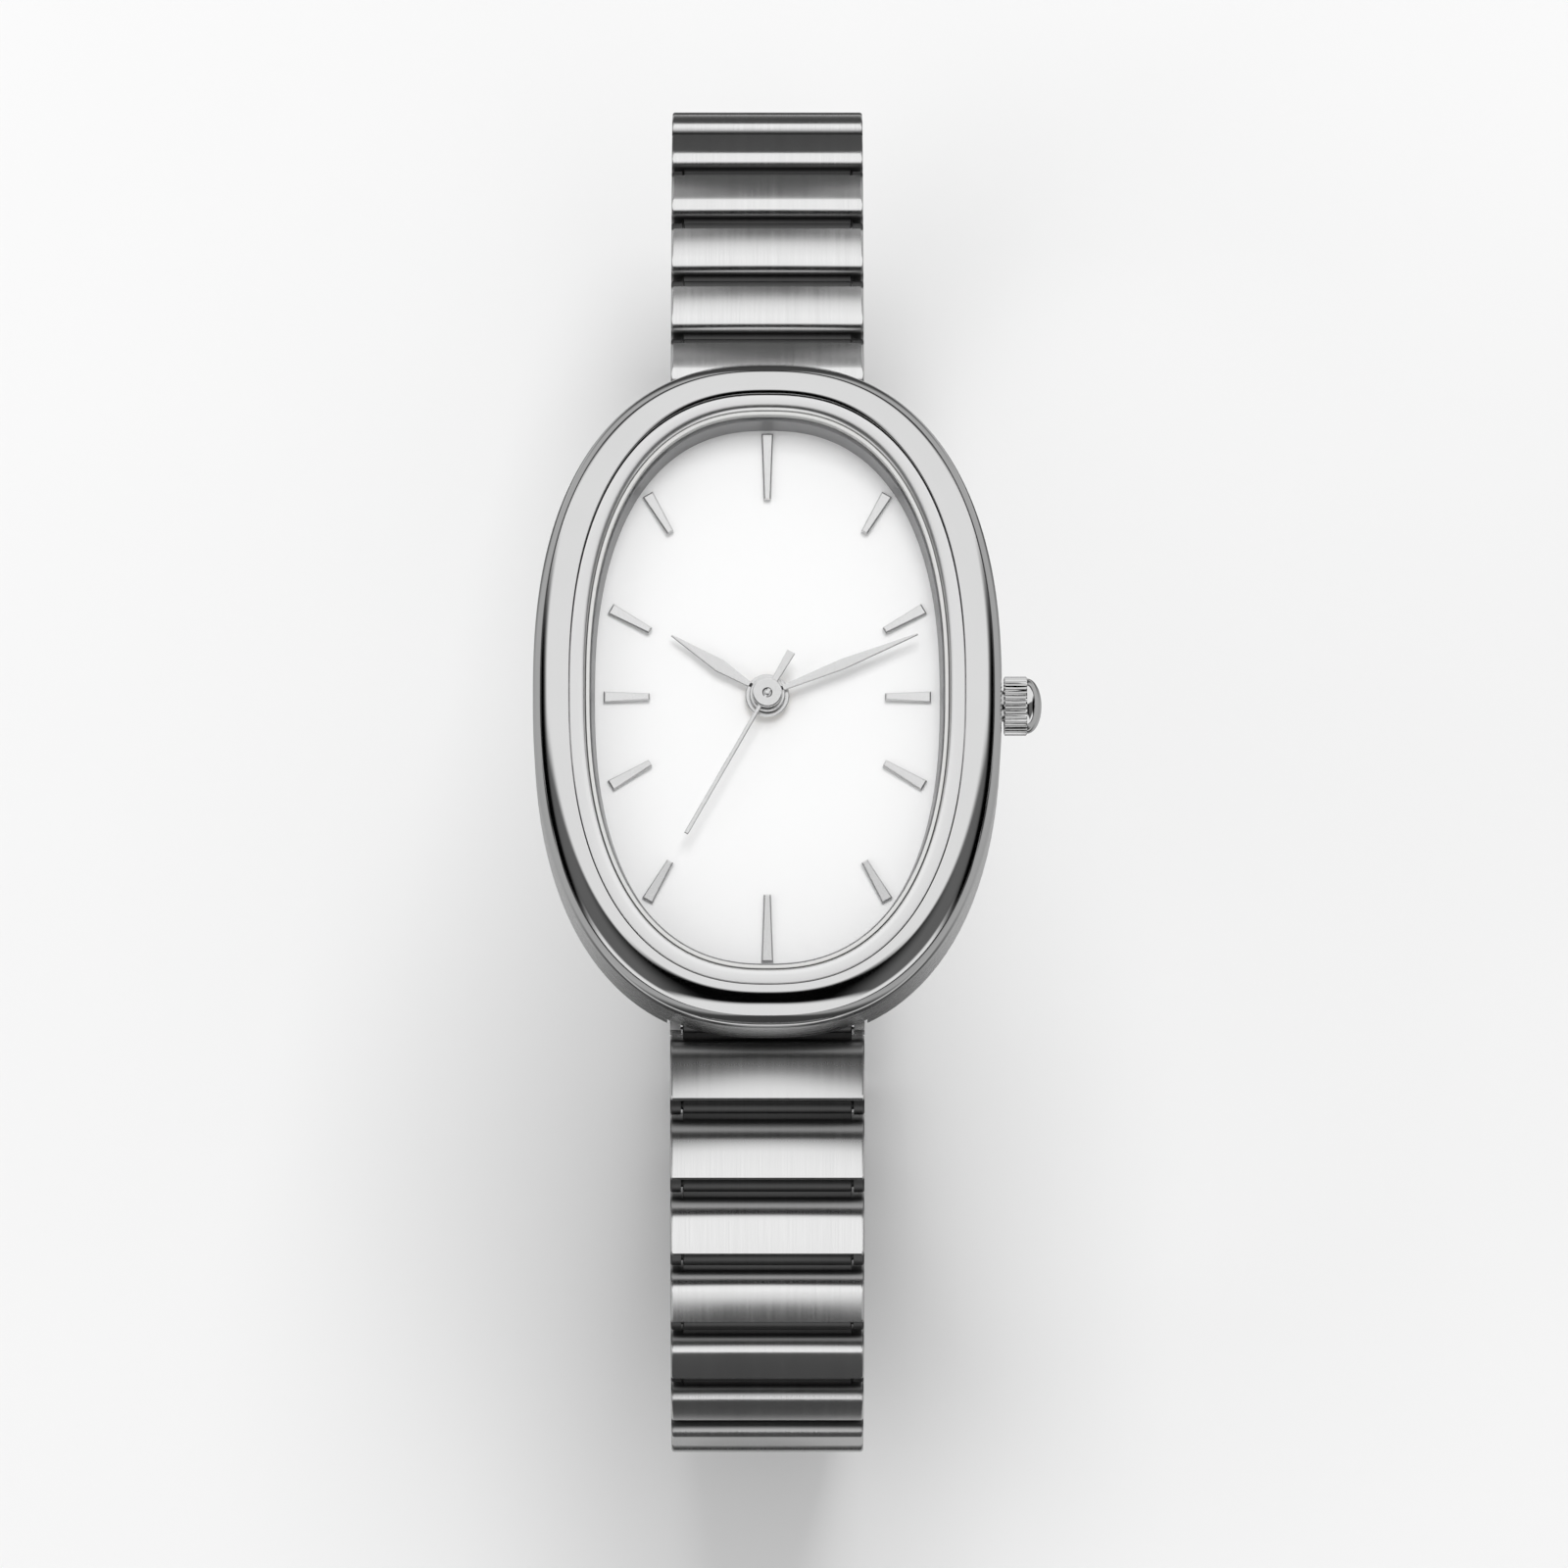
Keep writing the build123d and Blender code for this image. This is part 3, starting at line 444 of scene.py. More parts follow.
def dial_lacquer(name):
    """White lacquer with painted shade that greys it smoothly over the last part of the dial at 6 o'clock."""
    finish = Finish(name, Coat_Weight=0.3, Coat_Roughness=0.12, Roughness=0.42)
    start = -dial_semi[1] * PAINTED_SHADE_FROM
    # painted shade: a grey that climbs towards 6 o'clock, mixed with the lacquer's grain
    shade = finish.step(finish.part(finish.place(), "Y"), start, start - dial_semi[1] * PAINTED_SHADE_OVER)
    grain = finish.noise(0.08 * MM)
    painted_shade_and_grain = shade * 0.9 + grain * 0.1
    finish.set("Base Color", finish.blend(painted_shade_and_grain, grey(DIAL_WHITE), grey(DIAL_PAINTED_SHADE)))
    finish.bump(grain, 0.5e-6, 0.3)
    return finish.material


def applied_silver(name, level, roughness):
    """Diamond-cut silver plate for markers and hands: bright, with a trace of cutting lines."""
    finish = Finish(name, Metallic=1.0)
    cut = finish.noise(0.06 * MM, (1, 0.1, 1))
    finish.set("Roughness", roughness + cut * 0.08)
    finish.set("Base Color", finish.blend(cut, grey(level * 0.94), grey(level * 1.06)))
    return finish.material


glass = crystal_glass("crystal_glass")
lacquer = dial_lacquer("dial_white_lacquer")
marker_silver = applied_silver("marker_silver", 0.84, 0.14)
hand_silver = applied_silver("hand_silver", 0.85, 0.20)
print("nodes in the dial's finish:", len(lacquer.node_tree.nodes))

# %% [markdown]
# The small parts are paint, plastic, rubber and plated metal. Each could have a pattern of its own, but
# at their size a cloud of slightly darker and lighter tones is all that the eye finds. Only the coil's
# wire has ridges, from a wave texture whose waves are 2 pi / 20 long at a scale of 1.

# %% Painted, moulded and plated finishes
WAVE_LENGTH = 2 * math.pi / 20


def plain_finish(name, colour, pitch, drift, **constants):
    """A finish whose colour drifts a little over noise of one pitch, with a matching soft bump."""
    finish = Finish(name, **constants)
    mottle = finish.noise(pitch)
    finish.set("Base Color", finish.blend(mottle, rgba(colour, 1 - drift), rgba(colour, 1 + drift)))
    finish.set("Roughness", constants["Roughness"] - drift / 2 + mottle * drift)
    finish.bump(mottle, pitch * 0.02, 0.4)
    return finish.material


def wound_wire(name, colour, wire_pitch):
    """Enamelled wire: ridges along Y at the wire's pitch, with painted shade in the grooves."""
    finish = Finish(name, Roughness=0.3, Coat_Weight=0.5)
    sockets = {"Vector": finish.place(), "Scale": WAVE_LENGTH / wire_pitch, "Distortion": 0.0}
    ridge = finish.node("ShaderNodeTexWave", {"bands_direction": "Y"}, sockets)
    # painted shade: the wire's colour darkens in the grooves between its turns
    finish.set("Base Color", finish.blend(ridge, rgba(colour, 0.45), rgba(colour)))
    finish.bump(ridge, wire_pitch * 0.8, 0.6)
    return finish.material


def metal(name, colour, pitch, drift, roughness):
    return plain_finish(name, colour, pitch, drift, Roughness=roughness, Metallic=1.0)


def matt(name, colour, pitch, drift, roughness=0.5):
    return plain_finish(name, colour, pitch, drift, Roughness=roughness)


# painted shade: near-black for the shade inside the second hand's groove
painted_shade_recess = matt("recess_painted_shade", (0.05, 0.05, 0.05), 0.1 * MM, 0.2)
seal_milk = matt("gasket_milky_plastic", (0.62, 0.62, 0.61), 0.4 * MM, 0.05)
seal_black = matt("seal_black_rubber", (0.03, 0.03, 0.03), 0.2 * MM, 0.2, 0.7)
holder_white = matt("holder_moulded_plastic", (0.80, 0.80, 0.77), 0.5 * MM, 0.05)
rehaut_colour = (0.23, 0.23, 0.235)
rehaut_paint = plain_finish("rehaut_grey_paint", rehaut_colour, 0.3 * MM, 0.08, Roughness=0.36, Metallic=0.3)
board_colour = (0.03, 0.26, 0.12)
board_green = plain_finish("board_lacquer", board_colour, 0.3 * MM, 0.15, Roughness=0.35, Coat_Weight=0.6)
plate_nickel = metal("plate_satin_nickel", (0.70, 0.66, 0.54), 0.1 * MM, 0.10, 0.32)
wheel_brass = metal("wheel_cut_brass", (0.78, 0.58, 0.26), 0.1 * MM, 0.10, 0.26)
cell_steel = metal("cell_pressed_steel", (0.68, 0.68, 0.66), 0.3 * MM, 0.08, 0.22)
coil_copper = wound_wire("coil_enamelled_wire", (0.62, 0.24, 0.08), 0.02513 * MM)
print("materials so far:", len(bpy.data.materials))

# %% [markdown]
# ## The inner works
#
# Nobody sees the movement until the caseback is off, but it is all there: plate, bridge, wheels, coil,
# board and cell. The frame's own solids have the right shapes, so they only need finishes.

# %% Finishes for the frame's own solids
INNER_FINISHES = (
    (holder_white, "movement_holder"),
    (plate_nickel, "main_plate", "train_bridge"),
    (wheel_brass, "hour_wheel", "minute_wheel", "third_wheel", "centre_wheel"),
    (pin_steel, "second_wheel", "battery_strap", "stem", "setting_lever", "crown_tube", "spring_bars"),
    (board_green, "circuit_board"),
    (coil_copper, "coil"),
    (cell_steel, "battery"),
    (seal_black, "caseback_gasket"),
)


def dress(node, material):
    """Put a material into every slot of a frame node, or add the slot where there is none."""
    holder = frame["nodes"][node]
    if not holder.material_slots:
        holder.data.materials.append(material)
    for material_slot in holder.material_slots:
        material_slot.material = material


for material, *nodes in INNER_FINISHES:
    for node in nodes:
        dress(node, material)
    print(material.name, "goes on", nodes)

# %% [markdown]
# ## Bezel
#
# The bezel is a pressed steel ring, round on top and polished. A lathe can't turn an oval, so the real
# one is stamped and buffed, which leaves its edges a little soft. A section with a quarter ellipse for
# its dome and a small rounded edge inside, carried round the oval, gives that.

# %% Bezel
BEZEL_LAND = 0.55 * MM
BEZEL_DOME_WIDTH = 1.55 * MM
BEZEL_WIDTH = 1.85 * MM
BEZEL_EDGE = 0.05 * MM
EDGE_BULGE = 0.3
DOME_STEPS = 28

bezel_low, bezel_high = semi_axes("bezel")[1:]
dome_turn = np.linspace(0, math.pi / 2, DOME_STEPS)
dome_inset = BEZEL_DOME_WIDTH * (1 - np.cos(dome_turn))
dome_level = bezel_low + BEZEL_LAND + (bezel_high - bezel_low - BEZEL_LAND) * np.sin(dome_turn)
bezel_section = np.concatenate([
    [[0, bezel_low]],
    np.stack([dome_inset, dome_level], axis=-1),
    [
        [BEZEL_WIDTH - BEZEL_EDGE, bezel_high],
        [BEZEL_WIDTH - BEZEL_EDGE * EDGE_BULGE, bezel_high - BEZEL_EDGE * EDGE_BULGE],
        [BEZEL_WIDTH, bezel_high - BEZEL_EDGE],
        [BEZEL_WIDTH, bezel_low],
    ],
])
oval_piece("bezel_polished", "bezel", bezel_section, bezel_steel)

# %% [markdown]
# ## Crystal, its ring and seal, and the sloped wall
#
# The ring inside the bezel is flat, with a half-round lip that holds the crystal. A thin milky seal
# between the two shows as a pale line. Under the glass a grey wall slopes down to the dial and hides its
# cut edge. All four are sections carried round the same oval.

# %% Crystal ring, crystal, seal and rehaut
RING_WIDTH = 0.82 * MM
RING_LIP = 0.36 * MM
RING_EDGE = 0.05 * MM
RING_FOOT = 0.44 * MM
GLASS_BEVEL = 0.12 * MM
SEAL_WIDTH = 0.18 * MM
SEAL_ROUND = 0.04 * MM
REHAUT_FOOT = 0.79 * MM
REHAUT_TOP = 0.62 * MM
REHAUT_ROUND = 0.05 * MM

ring_low, ring_high = semi_axes("crystal_ring")[1:]
glass_low, glass_high = semi_axes("crystal")[1:]
ring_corners = [
    [0, ring_low],
    [0, ring_high],
    [RING_WIDTH, ring_high],
    [RING_WIDTH, glass_low],
    [RING_FOOT, glass_low],
    [RING_FOOT, ring_low],
]
ring_section = softened(ring_corners, [0, RING_EDGE, RING_LIP, 0, 0, 0], 8)
oval_piece("crystal_ring_polished", "crystal_ring", ring_section, ring_steel)

glass_section = [[0, glass_low], [0, glass_high - GLASS_BEVEL], [GLASS_BEVEL, glass_high]]
oval_piece("crystal_pane", "crystal", glass_section, glass, closed=False)

seal_low, seal_high = semi_axes("crystal_gasket")[1:]
seal_corners = [[0, seal_low], [0, seal_high], [SEAL_WIDTH, seal_high], [SEAL_WIDTH, seal_low]]
oval_piece("crystal_seal", "crystal_gasket", softened(seal_corners, SEAL_ROUND), seal_milk)

rehaut_low, rehaut_high = semi_axes("rehaut_ring")[1:]
rehaut_corners = [[0, rehaut_low], [0, rehaut_high], [REHAUT_TOP, rehaut_high], [REHAUT_FOOT, rehaut_low]]
rehaut_section = softened(rehaut_corners, [0, 0, REHAUT_ROUND, 0])
oval_piece("rehaut_wall", "rehaut_ring", rehaut_section, rehaut_paint)

# %% [markdown]
# ## Dial
#
# The dial is a thin lacquered plate with one hole for the hands' pipes. A Boolean could cut it, but two
# more rings do it too: the skin runs over the top, down inside the hole and back underneath.

# %% Dial plate
DIAL_EDGE = 0.03 * MM
DIAL_HOLE = 0.82 * MM


def flat_circle(radius, level, count=AROUND):
    """A level circle: radius times the cosine and sine of evenly spaced turns."""
    angle = np.linspace(0, 2 * math.pi, count, endpoint=False)
    return np.stack([radius * np.cos(angle), radius * np.sin(angle), np.full(count, level)], axis=-1)


dial_outer = oval_rings(dial_semi, [[0, dial_low], [0, dial_high - DIAL_EDGE], [DIAL_EDGE, dial_high]])
dial_inner = [flat_circle(DIAL_HOLE, dial_high), flat_circle(DIAL_HOLE, dial_low)]
dial_rings = np.concatenate([dial_outer, dial_inner])
piece("dial_plate", skin(dial_rings, closed=True), "case", lacquer, ["dial"])

# %% [markdown]
# ## Hour markers
#
# The markers are silver batons, widest at the rim, with a narrow bevel round the top. Their tops fall a
# little towards the rim, so that each mirrors its own part of the room. Their places and sizes are read
# back from the frame's markers, one clock angle at a time.

# %% Hour markers
MARKER_BEVEL = 0.07 * MM
MARKER_FALL = 0.13 * MM
NEAR_DEGREES = 12
MARKER_SMOOTH = 0.2
TOUCHING = 1e-6


def node_points(node):
    """Every vertex of a frame node, as an array."""
    mesh = frame["nodes"][node].data
    flat = np.empty(len(mesh.vertices) * 3, np.float32)
    mesh.vertices.foreach_get("co", flat)
    return flat.reshape(-1, 3).astype(float)


def clock_frame(degrees):
    """Unit vectors outwards and across for a clock angle, counted clockwise from +Y."""
    turn = math.radians(degrees)
    return np.array([math.sin(turn), math.cos(turn)]), np.array([math.cos(turn), -math.sin(turn)])


def marker_skin(own, outwards, across):
    """A baton over the points of a frame marker: foot, shoulder and top, each a ring of four corners.

    The top is the outline less the bevel all round. The shoulder and the top fall at the outer end."""
    along = own[:, :2] @ outwards
    aside = np.abs(own[:, :2] @ across)
    inner, outer = along.min(), along.max()
    wide, narrow = aside[along > outer - TOUCHING].max(), aside[along < inner + TOUCHING].max()
    low, high = own[:, 2].min(), own[:, 2].max()
    stations = ((0, low, 0), (0, high - MARKER_BEVEL, MARKER_FALL), (MARKER_BEVEL, high, MARKER_FALL))
    rings = []
    for inset, level, fall in stations:
        corners = np.array([
            [inner + inset, -(narrow - inset)],
            [inner + inset, narrow - inset],
            [outer - inset, wide - inset],
            [outer - inset, -(wide - inset)],
        ])
        flat = corners[:, :1] * outwards + corners[:, 1:] * across
        rings.append(np.column_stack([flat, level - fall * np.array([0, 0, 1, 1])]))
    return skin(np.array(rings))


marker_points = node_points("hour_markers")
marker_clock = np.degrees(np.arctan2(marker_points[:, 0], marker_points[:, 1]))
marker_skins = []
for clock in range(0, 360, 30):
    near = np.abs((marker_clock - clock + 180) % 360 - 180) < NEAR_DEGREES
    marker_skins.append(marker_skin(marker_points[near], *clock_frame(clock)))
batons = joined(marker_skins)
piece("hour_markers_silver", batons, "case", marker_silver, ["hour_markers"], MARKER_SMOOTH)

# %% [markdown]
# ## Hands
#
# The hour and minute hands are slim leaves stamped from thin sheet. From the front, the rings at their
# roots make a target. Each hand's direction is read from the frame, and half its outline is drawn along
# that direction and mirrored.

# %% Hour and minute hand
HAND_EDGE = 0.045 * MM
HAND_SMOOTH = 0.3
NECK_HALF_WIDTH = 0.15 * MM
TIP_HALF_WIDTH = 0.05 * MM
SAME_TIP = 0.02 * MM
TURNED_STEPS = 72


def inward_normals(outline, tracing=1):
    """At each point, the mean of the directions square to its two sides: to their left where the outline
    is traced against the clock (1), and to their right where it is traced with it (-1)."""
    sides = np.roll(outline, -1, axis=0) - outline
    normals = np.stack([-sides[:, 1], sides[:, 0]], axis=-1) * tracing
    normals /= np.linalg.norm(normals, axis=1)[:, None]
    mean = normals + np.roll(normals, 1, axis=0)
    return mean / np.linalg.norm(mean, axis=1)[:, None]


def plate_skin(outline, low, high):
    """A flat plate from an outline in the plane, with its top edge drawn in by a bevel."""
    top = outline + inward_normals(outline) * HAND_EDGE
    stations = ((outline, low), (outline, high - HAND_EDGE), (top, high))
    return skin(np.array([np.column_stack([shape, np.full(len(shape), level)]) for shape, level in stations]))


def turned_rings(profile):
    """Turn (radius, level) pairs about the dial's axis."""
    return np.array([flat_circle(radius, level, TURNED_STEPS) for radius, level in profile])


def hand_reading(node):
    """Directions along and across a frame hand, its length and levels: its tip's points give the first."""
    points = node_points(node)
    from_axis = np.hypot(points[:, 0], points[:, 1])
    length = from_axis.max()
    tip = points[from_axis > length - SAME_TIP][:, :2].mean(axis=0)
    outwards = tip / np.linalg.norm(tip)
    return outwards, np.array([outwards[1], -outwards[0]]), length, points[:, 2].min(), points[:, 2].max()


def blade_outline(half, outwards, across):
    """Half an outline as (way out, half width), and its mirror image traced back, laid on the dial."""
    outline = np.concatenate([half, half[::-1] * [1, -1]])
    return outline[:, :1] * outwards + outline[:, 1:] * across


def leaf_hand(name, node, body, width, hub, pipe):
    """Half the leaf runs neck, widest point, tip. The ring round the pipe is a closed turned skin."""
    outwards, across, length, low, high = hand_reading(node)
    widest = [length * 0.5, width / 2]
    half = np.array([[hub * 0.6, NECK_HALF_WIDTH], [hub, NECK_HALF_WIDTH], widest, [length, TIP_HALF_WIDTH]])
    blade = plate_skin(blade_outline(half, outwards, across), low, high)
    ring = [(pipe, low), (hub, low), (hub, high - HAND_EDGE), (hub - HAND_EDGE, high), (pipe, high)]
    hand = joined([blade, skin(turned_rings(ring), closed=True)])
    piece(name, hand, body, hand_silver, [node], HAND_SMOOTH)


leaf_hand("hour_hand_leaf", "hour_hand", "hour", width=0.72 * MM, hub=1.13 * MM, pipe=0.76 * MM)
leaf_hand("minute_hand_leaf", "minute_hand", "minute", width=0.58 * MM, hub=0.92 * MM, pipe=0.48 * MM)

# %% [markdown]
# The second hand is a bar with a broad tail, riveted to a button: a stack of circles with a rounded rim
# and a groove, painted dark for the shade in that recess. An image could paint that, but a material slot
# of its own on the groove's rings of faces is sharper.

# %% Second hand
SECOND_HUB = 0.77 * MM
SECOND_TAIL = 2.50 * MM
SECOND_PLATE = 0.15 * MM
BAR_HALF = 0.11 * MM
TAIL_ROOT_HALF = 0.16 * MM
TAIL_HALF = 0.23 * MM
GROOVE_DEPTH = 0.14 * MM
GROOVE_RINGS = (4, 5, 6)

outwards, across, length, low, high = hand_reading("second_hand")
tail_root = [-SECOND_HUB * 0.5, TAIL_ROOT_HALF]
half = np.array([[-SECOND_TAIL, TAIL_HALF], tail_root, [0, BAR_HALF], [length, BAR_HALF]])
bar = plate_skin(blade_outline(half, outwards, across), low, low + SECOND_PLATE)
button_profile = [
    (SECOND_HUB, low),
    (SECOND_HUB, high - 0.05 * MM),
    (SECOND_HUB - 0.03 * MM, high - 0.02 * MM),
    (SECOND_HUB - 0.08 * MM, high),
    (0.26 * MM, high),
    (0.24 * MM, high - GROOVE_DEPTH),
    (0.13 * MM, high - GROOVE_DEPTH),
    (0.11 * MM, high - 0.02 * MM),
    (0.03 * MM, high - 0.01 * MM),
]
button = skin(turned_rings(button_profile))
hand = joined([bar, button])
nodes = ["second_hand"]
second_hand = piece("second_hand_bar", hand, "second", hand_silver, nodes, HAND_SMOOTH)
# painted shade: the groove's faces get the near-black finish of shade in a recess
second_hand.data.materials.append(painted_shade_recess)
in_groove = np.zeros(len(second_hand.data.polygons), np.int32)
ring_number = np.arange(len(button[1]) - 2) // TURNED_STEPS
in_groove[len(bar[1]):-2] = np.isin(ring_number, GROOVE_RINGS)
second_hand.data.polygons.foreach_set("material_index", in_groove)
print("faces in the groove:", in_groove.sum())

# %% [markdown]
# ## Crown
#
# The crown is turned from bar: a grip with flutes milled along it, and a polished dome. An array of
# cutters and a Boolean could mill it, but a ring whose radius dips at every flute is the cut section
# itself, and the flutes fade out at the dome as a real cutter leaves them.

# %% Fluted crown
CROWN_FLUTES = 36
FLUTE_DEPTH = 0.10 * MM
FLUTE_SHARPNESS = 3
POINTS_PER_FLUTE = 12
CROWN_GRIP = 1.20 * MM
CROWN_BORE = 0.85 * MM
CROWN_SOCKET = 0.68 * MM
STEM_RADIUS = 0.36 * MM
GRIP_EDGE = 0.06 * MM
CROWN_DOME_STEPS = 18
CROWN_DOME_END = math.radians(88)

crown_low, crown_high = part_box("crown")
crown_axis_z = JOINT_PLACES["crown_spin"][2]
crown_radius = crown_high.y
grip_end = crown_low.x + CROWN_GRIP
crown_turn = np.linspace(0, 2 * math.pi, CROWN_FLUTES * POINTS_PER_FLUTE, endpoint=False)
flute = np.abs(np.cos(crown_turn * CROWN_FLUTES / 2)) ** FLUTE_SHARPNESS


def crown_ring(x, radius, depth):
    """A ring across X: the radius less the flute's share of the depth."""
    dipped = radius - depth * flute
    across_y, across_z = dipped * np.cos(crown_turn), crown_axis_z + dipped * np.sin(crown_turn)
    return np.stack([np.full(len(crown_turn), x), across_y, across_z], axis=-1)


crown_stations = [
    (CROWN_SOCKET, STEM_RADIUS, 0),
    (CROWN_SOCKET, CROWN_BORE, 0),
    (0, CROWN_BORE, 0),
    (0, crown_radius - 2 * GRIP_EDGE, 0),
    (GRIP_EDGE, crown_radius, FLUTE_DEPTH),
    (CROWN_GRIP / 2, crown_radius, FLUTE_DEPTH),
    (CROWN_GRIP - GRIP_EDGE, crown_radius, FLUTE_DEPTH),
    (CROWN_GRIP, crown_radius - GRIP_EDGE, FLUTE_DEPTH / 2),
]
crown_rings = [crown_ring(crown_low.x + way, radius, depth) for way, radius, depth in crown_stations]
for turn in np.linspace(0, CROWN_DOME_END, CROWN_DOME_STEPS):
    x = grip_end + (crown_high.x - grip_end) * math.sin(turn)
    crown_rings.append(crown_ring(x, (crown_radius - FLUTE_DEPTH) * math.cos(turn), 0))
piece("crown_fluted", skin(np.array(crown_rings)), "crown", crown_steel, ["crown"])

# %% [markdown]
# ## Case middle, caseback and clasp
#
# The case middle has slots and lugs for the bracelet, so its shape is the frame's own. The frame's mesh is
# loose triangles, which a mirror would show as facets. Its points are merged into one skin here, so that
# its shading is smooth wherever two faces meet at a small angle. The clasp's sheet edges get a bevel.

# %% Merged copies of frame nodes
WELD = 1e-6
MERGED_SMOOTH = math.radians(32)
BEVEL_OVER = math.radians(40)
CLASP_EDGE = 0.06 * MM


def merged_skin(node):
    """A node's triangles with equal points made one, and triangles that lost a corner left out."""
    mesh = frame["nodes"][node].data
    points = node_points(node)
    corners = np.empty(len(mesh.loops), np.int32)
    mesh.loops.foreach_get("vertex_index", corners)
    keys = np.round(points / WELD).astype(np.int64)
    _, first, place = np.unique(keys, axis=0, return_index=True, return_inverse=True)
    faces = place.reshape(-1)[corners].reshape(-1, 3)
    whole = (faces[:, 0] != faces[:, 1]) & (faces[:, 1] != faces[:, 2]) & (faces[:, 2] != faces[:, 0])
    return points[first], faces[whole].tolist()


def merged_piece(node, body, material, edge=0.0):
    made = piece(f"{node}_steel", merged_skin(node), body, material, [node], MERGED_SMOOTH)
    if edge:
        bevel = made.modifiers.new("broken_edges", "BEVEL")
        bevel.width = edge
        bevel.segments = 2
        bevel.limit_method = "ANGLE"
        bevel.angle_limit = BEVEL_OVER


merged_piece("case_middle", "case", case_steel)
merged_piece("caseback", "case", back_steel)
merged_piece("clasp_frame", "clasp_frame", clasp_steel, CLASP_EDGE)
merged_piece("clasp_cover", "clasp_cover", clasp_steel, CLASP_EDGE)

# %% [markdown]
# ## Bracelet links
#
# Each link is one casting: a thick plate with a round-shouldered rise on the side of the case, a gently
# domed outer face, and a bevelled edge that hangs over the next link's barrel. A barrel on one side turns
# on the pin between two ears of the link before. Seen from the front, a bright satin face, a black gap
# and a dark grey barrel repeat along the band. The plate is drawn in the link's own plane, with u from
# the inner pin to the outer one and v outwards.

# %% Outline of a link
FACE_START = 0.80 * MM
FACE_HEIGHT = 1.11 * MM
EDGE_HEIGHT = 0.94 * MM
SHOULDER_LENGTH = 0.85 * MM
SHOULDER_RISE = 0.64 * MM
EDGE_BEFORE_PIN = 0.27 * MM
EDGE_BEVEL = 0.18 * MM
INNER_DEPTH = 0.85 * MM
KNUCKLE_RADIUS = 0.62 * MM
KNUCKLE_CLEAR = 0.12 * MM
SHOULDER_STEPS = 16
CREST_STEPS = 12
HOLLOW_STEPS = 17


def arc(centre, radius, from_degrees, to_degrees, steps):
    """Points of a circle between two angles in the link's own plane."""
    angle = np.radians(np.linspace(from_degrees, to_degrees, steps))
    return np.stack([centre[0] + radius * np.cos(angle), centre[1] + radius * np.sin(angle)], axis=-1)


def link_outline(pitch):
    """The plate climbs from the inner face, rolls over on a quarter ellipse, follows a shallow parabola
    to the bevelled edge, and comes back round the barrel of the next link."""
    end = pitch - EDGE_BEFORE_PIN
    turn = np.linspace(0, math.pi / 2, SHOULDER_STEPS)
    shoulder_u = FACE_START + SHOULDER_LENGTH * (1 - np.cos(turn))
    shoulder = np.stack([shoulder_u, FACE_HEIGHT - SHOULDER_RISE * (1 - np.sin(turn))], axis=-1)
    crest_from, crest_to = FACE_START + SHOULDER_LENGTH, end - EDGE_BEVEL
    share = np.linspace(0, 1, CREST_STEPS + 1)[1:]
    crest_v = FACE_HEIGHT - (FACE_HEIGHT - EDGE_HEIGHT) * share**2
    crest = np.stack([crest_from + (crest_to - crest_from) * share, crest_v], axis=-1)
    scoop = KNUCKLE_RADIUS + KNUCKLE_CLEAR
    opening = math.degrees(math.acos(-EDGE_BEFORE_PIN / scoop))
    hollow = arc((pitch, 0), scoop, opening, 360 - opening, HOLLOW_STEPS)
    tail = [[end, -INNER_DEPTH], [FACE_START, -INNER_DEPTH]]
    return np.concatenate([shoulder, crest, [[end, EDGE_HEIGHT - EDGE_BEVEL]], hollow, tail])


print("points round a link's plate:", len(link_outline(4 * MM)))

# %% [markdown]
# The plate, the barrel, its neck and the pin all run straight across the band, so one helper carries any
# outline from side to side. A real link's side edges are rounded by tumbling, so the helper draws the
# outline in at both ends, which needs no modifier on every link.

# %% Bars across the band
SIDE_ROUND = 0.14 * MM
EDGE_STEPS = 4
PLATE_RINGS = 2 * (EDGE_STEPS + 1)


def bar_across(outline, half, edge, steps=EDGE_STEPS):
    """Carry an outline across the band from -half to half, drawn in round a quarter circle at both ends:
    the inset is edge * (1 - sin a), at edge * (1 - cos a) from the end."""
    inward = inward_normals(outline, tracing=-1)
    quarter = np.linspace(0, math.pi / 2, steps + 1)
    insets = edge * (1 - np.sin(quarter))
    run = edge * (1 - np.cos(quarter))
    stations = [(step - half, inset) for step, inset in zip(run, insets)]
    stations += [(half - step, inset) for step, inset in zip(run[::-1], insets[::-1])]
    rings = [np.column_stack([np.full(len(outline), x), outline + inward * inset]) for x, inset in stations]
    return skin(np.array(rings))


def circle_outline(centre, radius, count=40):
    """A circle traced the way the link's outline is, with the clock in u and v."""
    return arc(centre, radius, 360, 360 / count, count)


print("faces of a pin:", len(bar_across(circle_outline((0, 0), 1, 24), 10, 0.2, 2)[1]))

# %% [markdown]
# An ear is a tab with a bore for the pin. A plain disc would leave a notch at the plate, so the half that
# faces the plate is squared off and stretched back to it.

# %% Ears and the whole link
LINK_HALF = 5.0 * MM
EAR_WIDTH = 0.55 * MM
EAR_STEPS = 48
EAR_EDGE = 0.08 * MM
EAR_SQUARE = 1.6
BORE_PLAY = 0.02 * MM
SIDE_PLAY = 0.10 * MM
FACE_GAP = 0.05 * MM
BARREL_EDGE = 0.08 * MM
NECK_HALF = 0.42 * MM
NECK_EDGE = 0.05 * MM
PIN_RADIUS = 0.35 * MM
PIN_END_GAP = 0.15 * MM
PIN_EDGE = 0.06 * MM


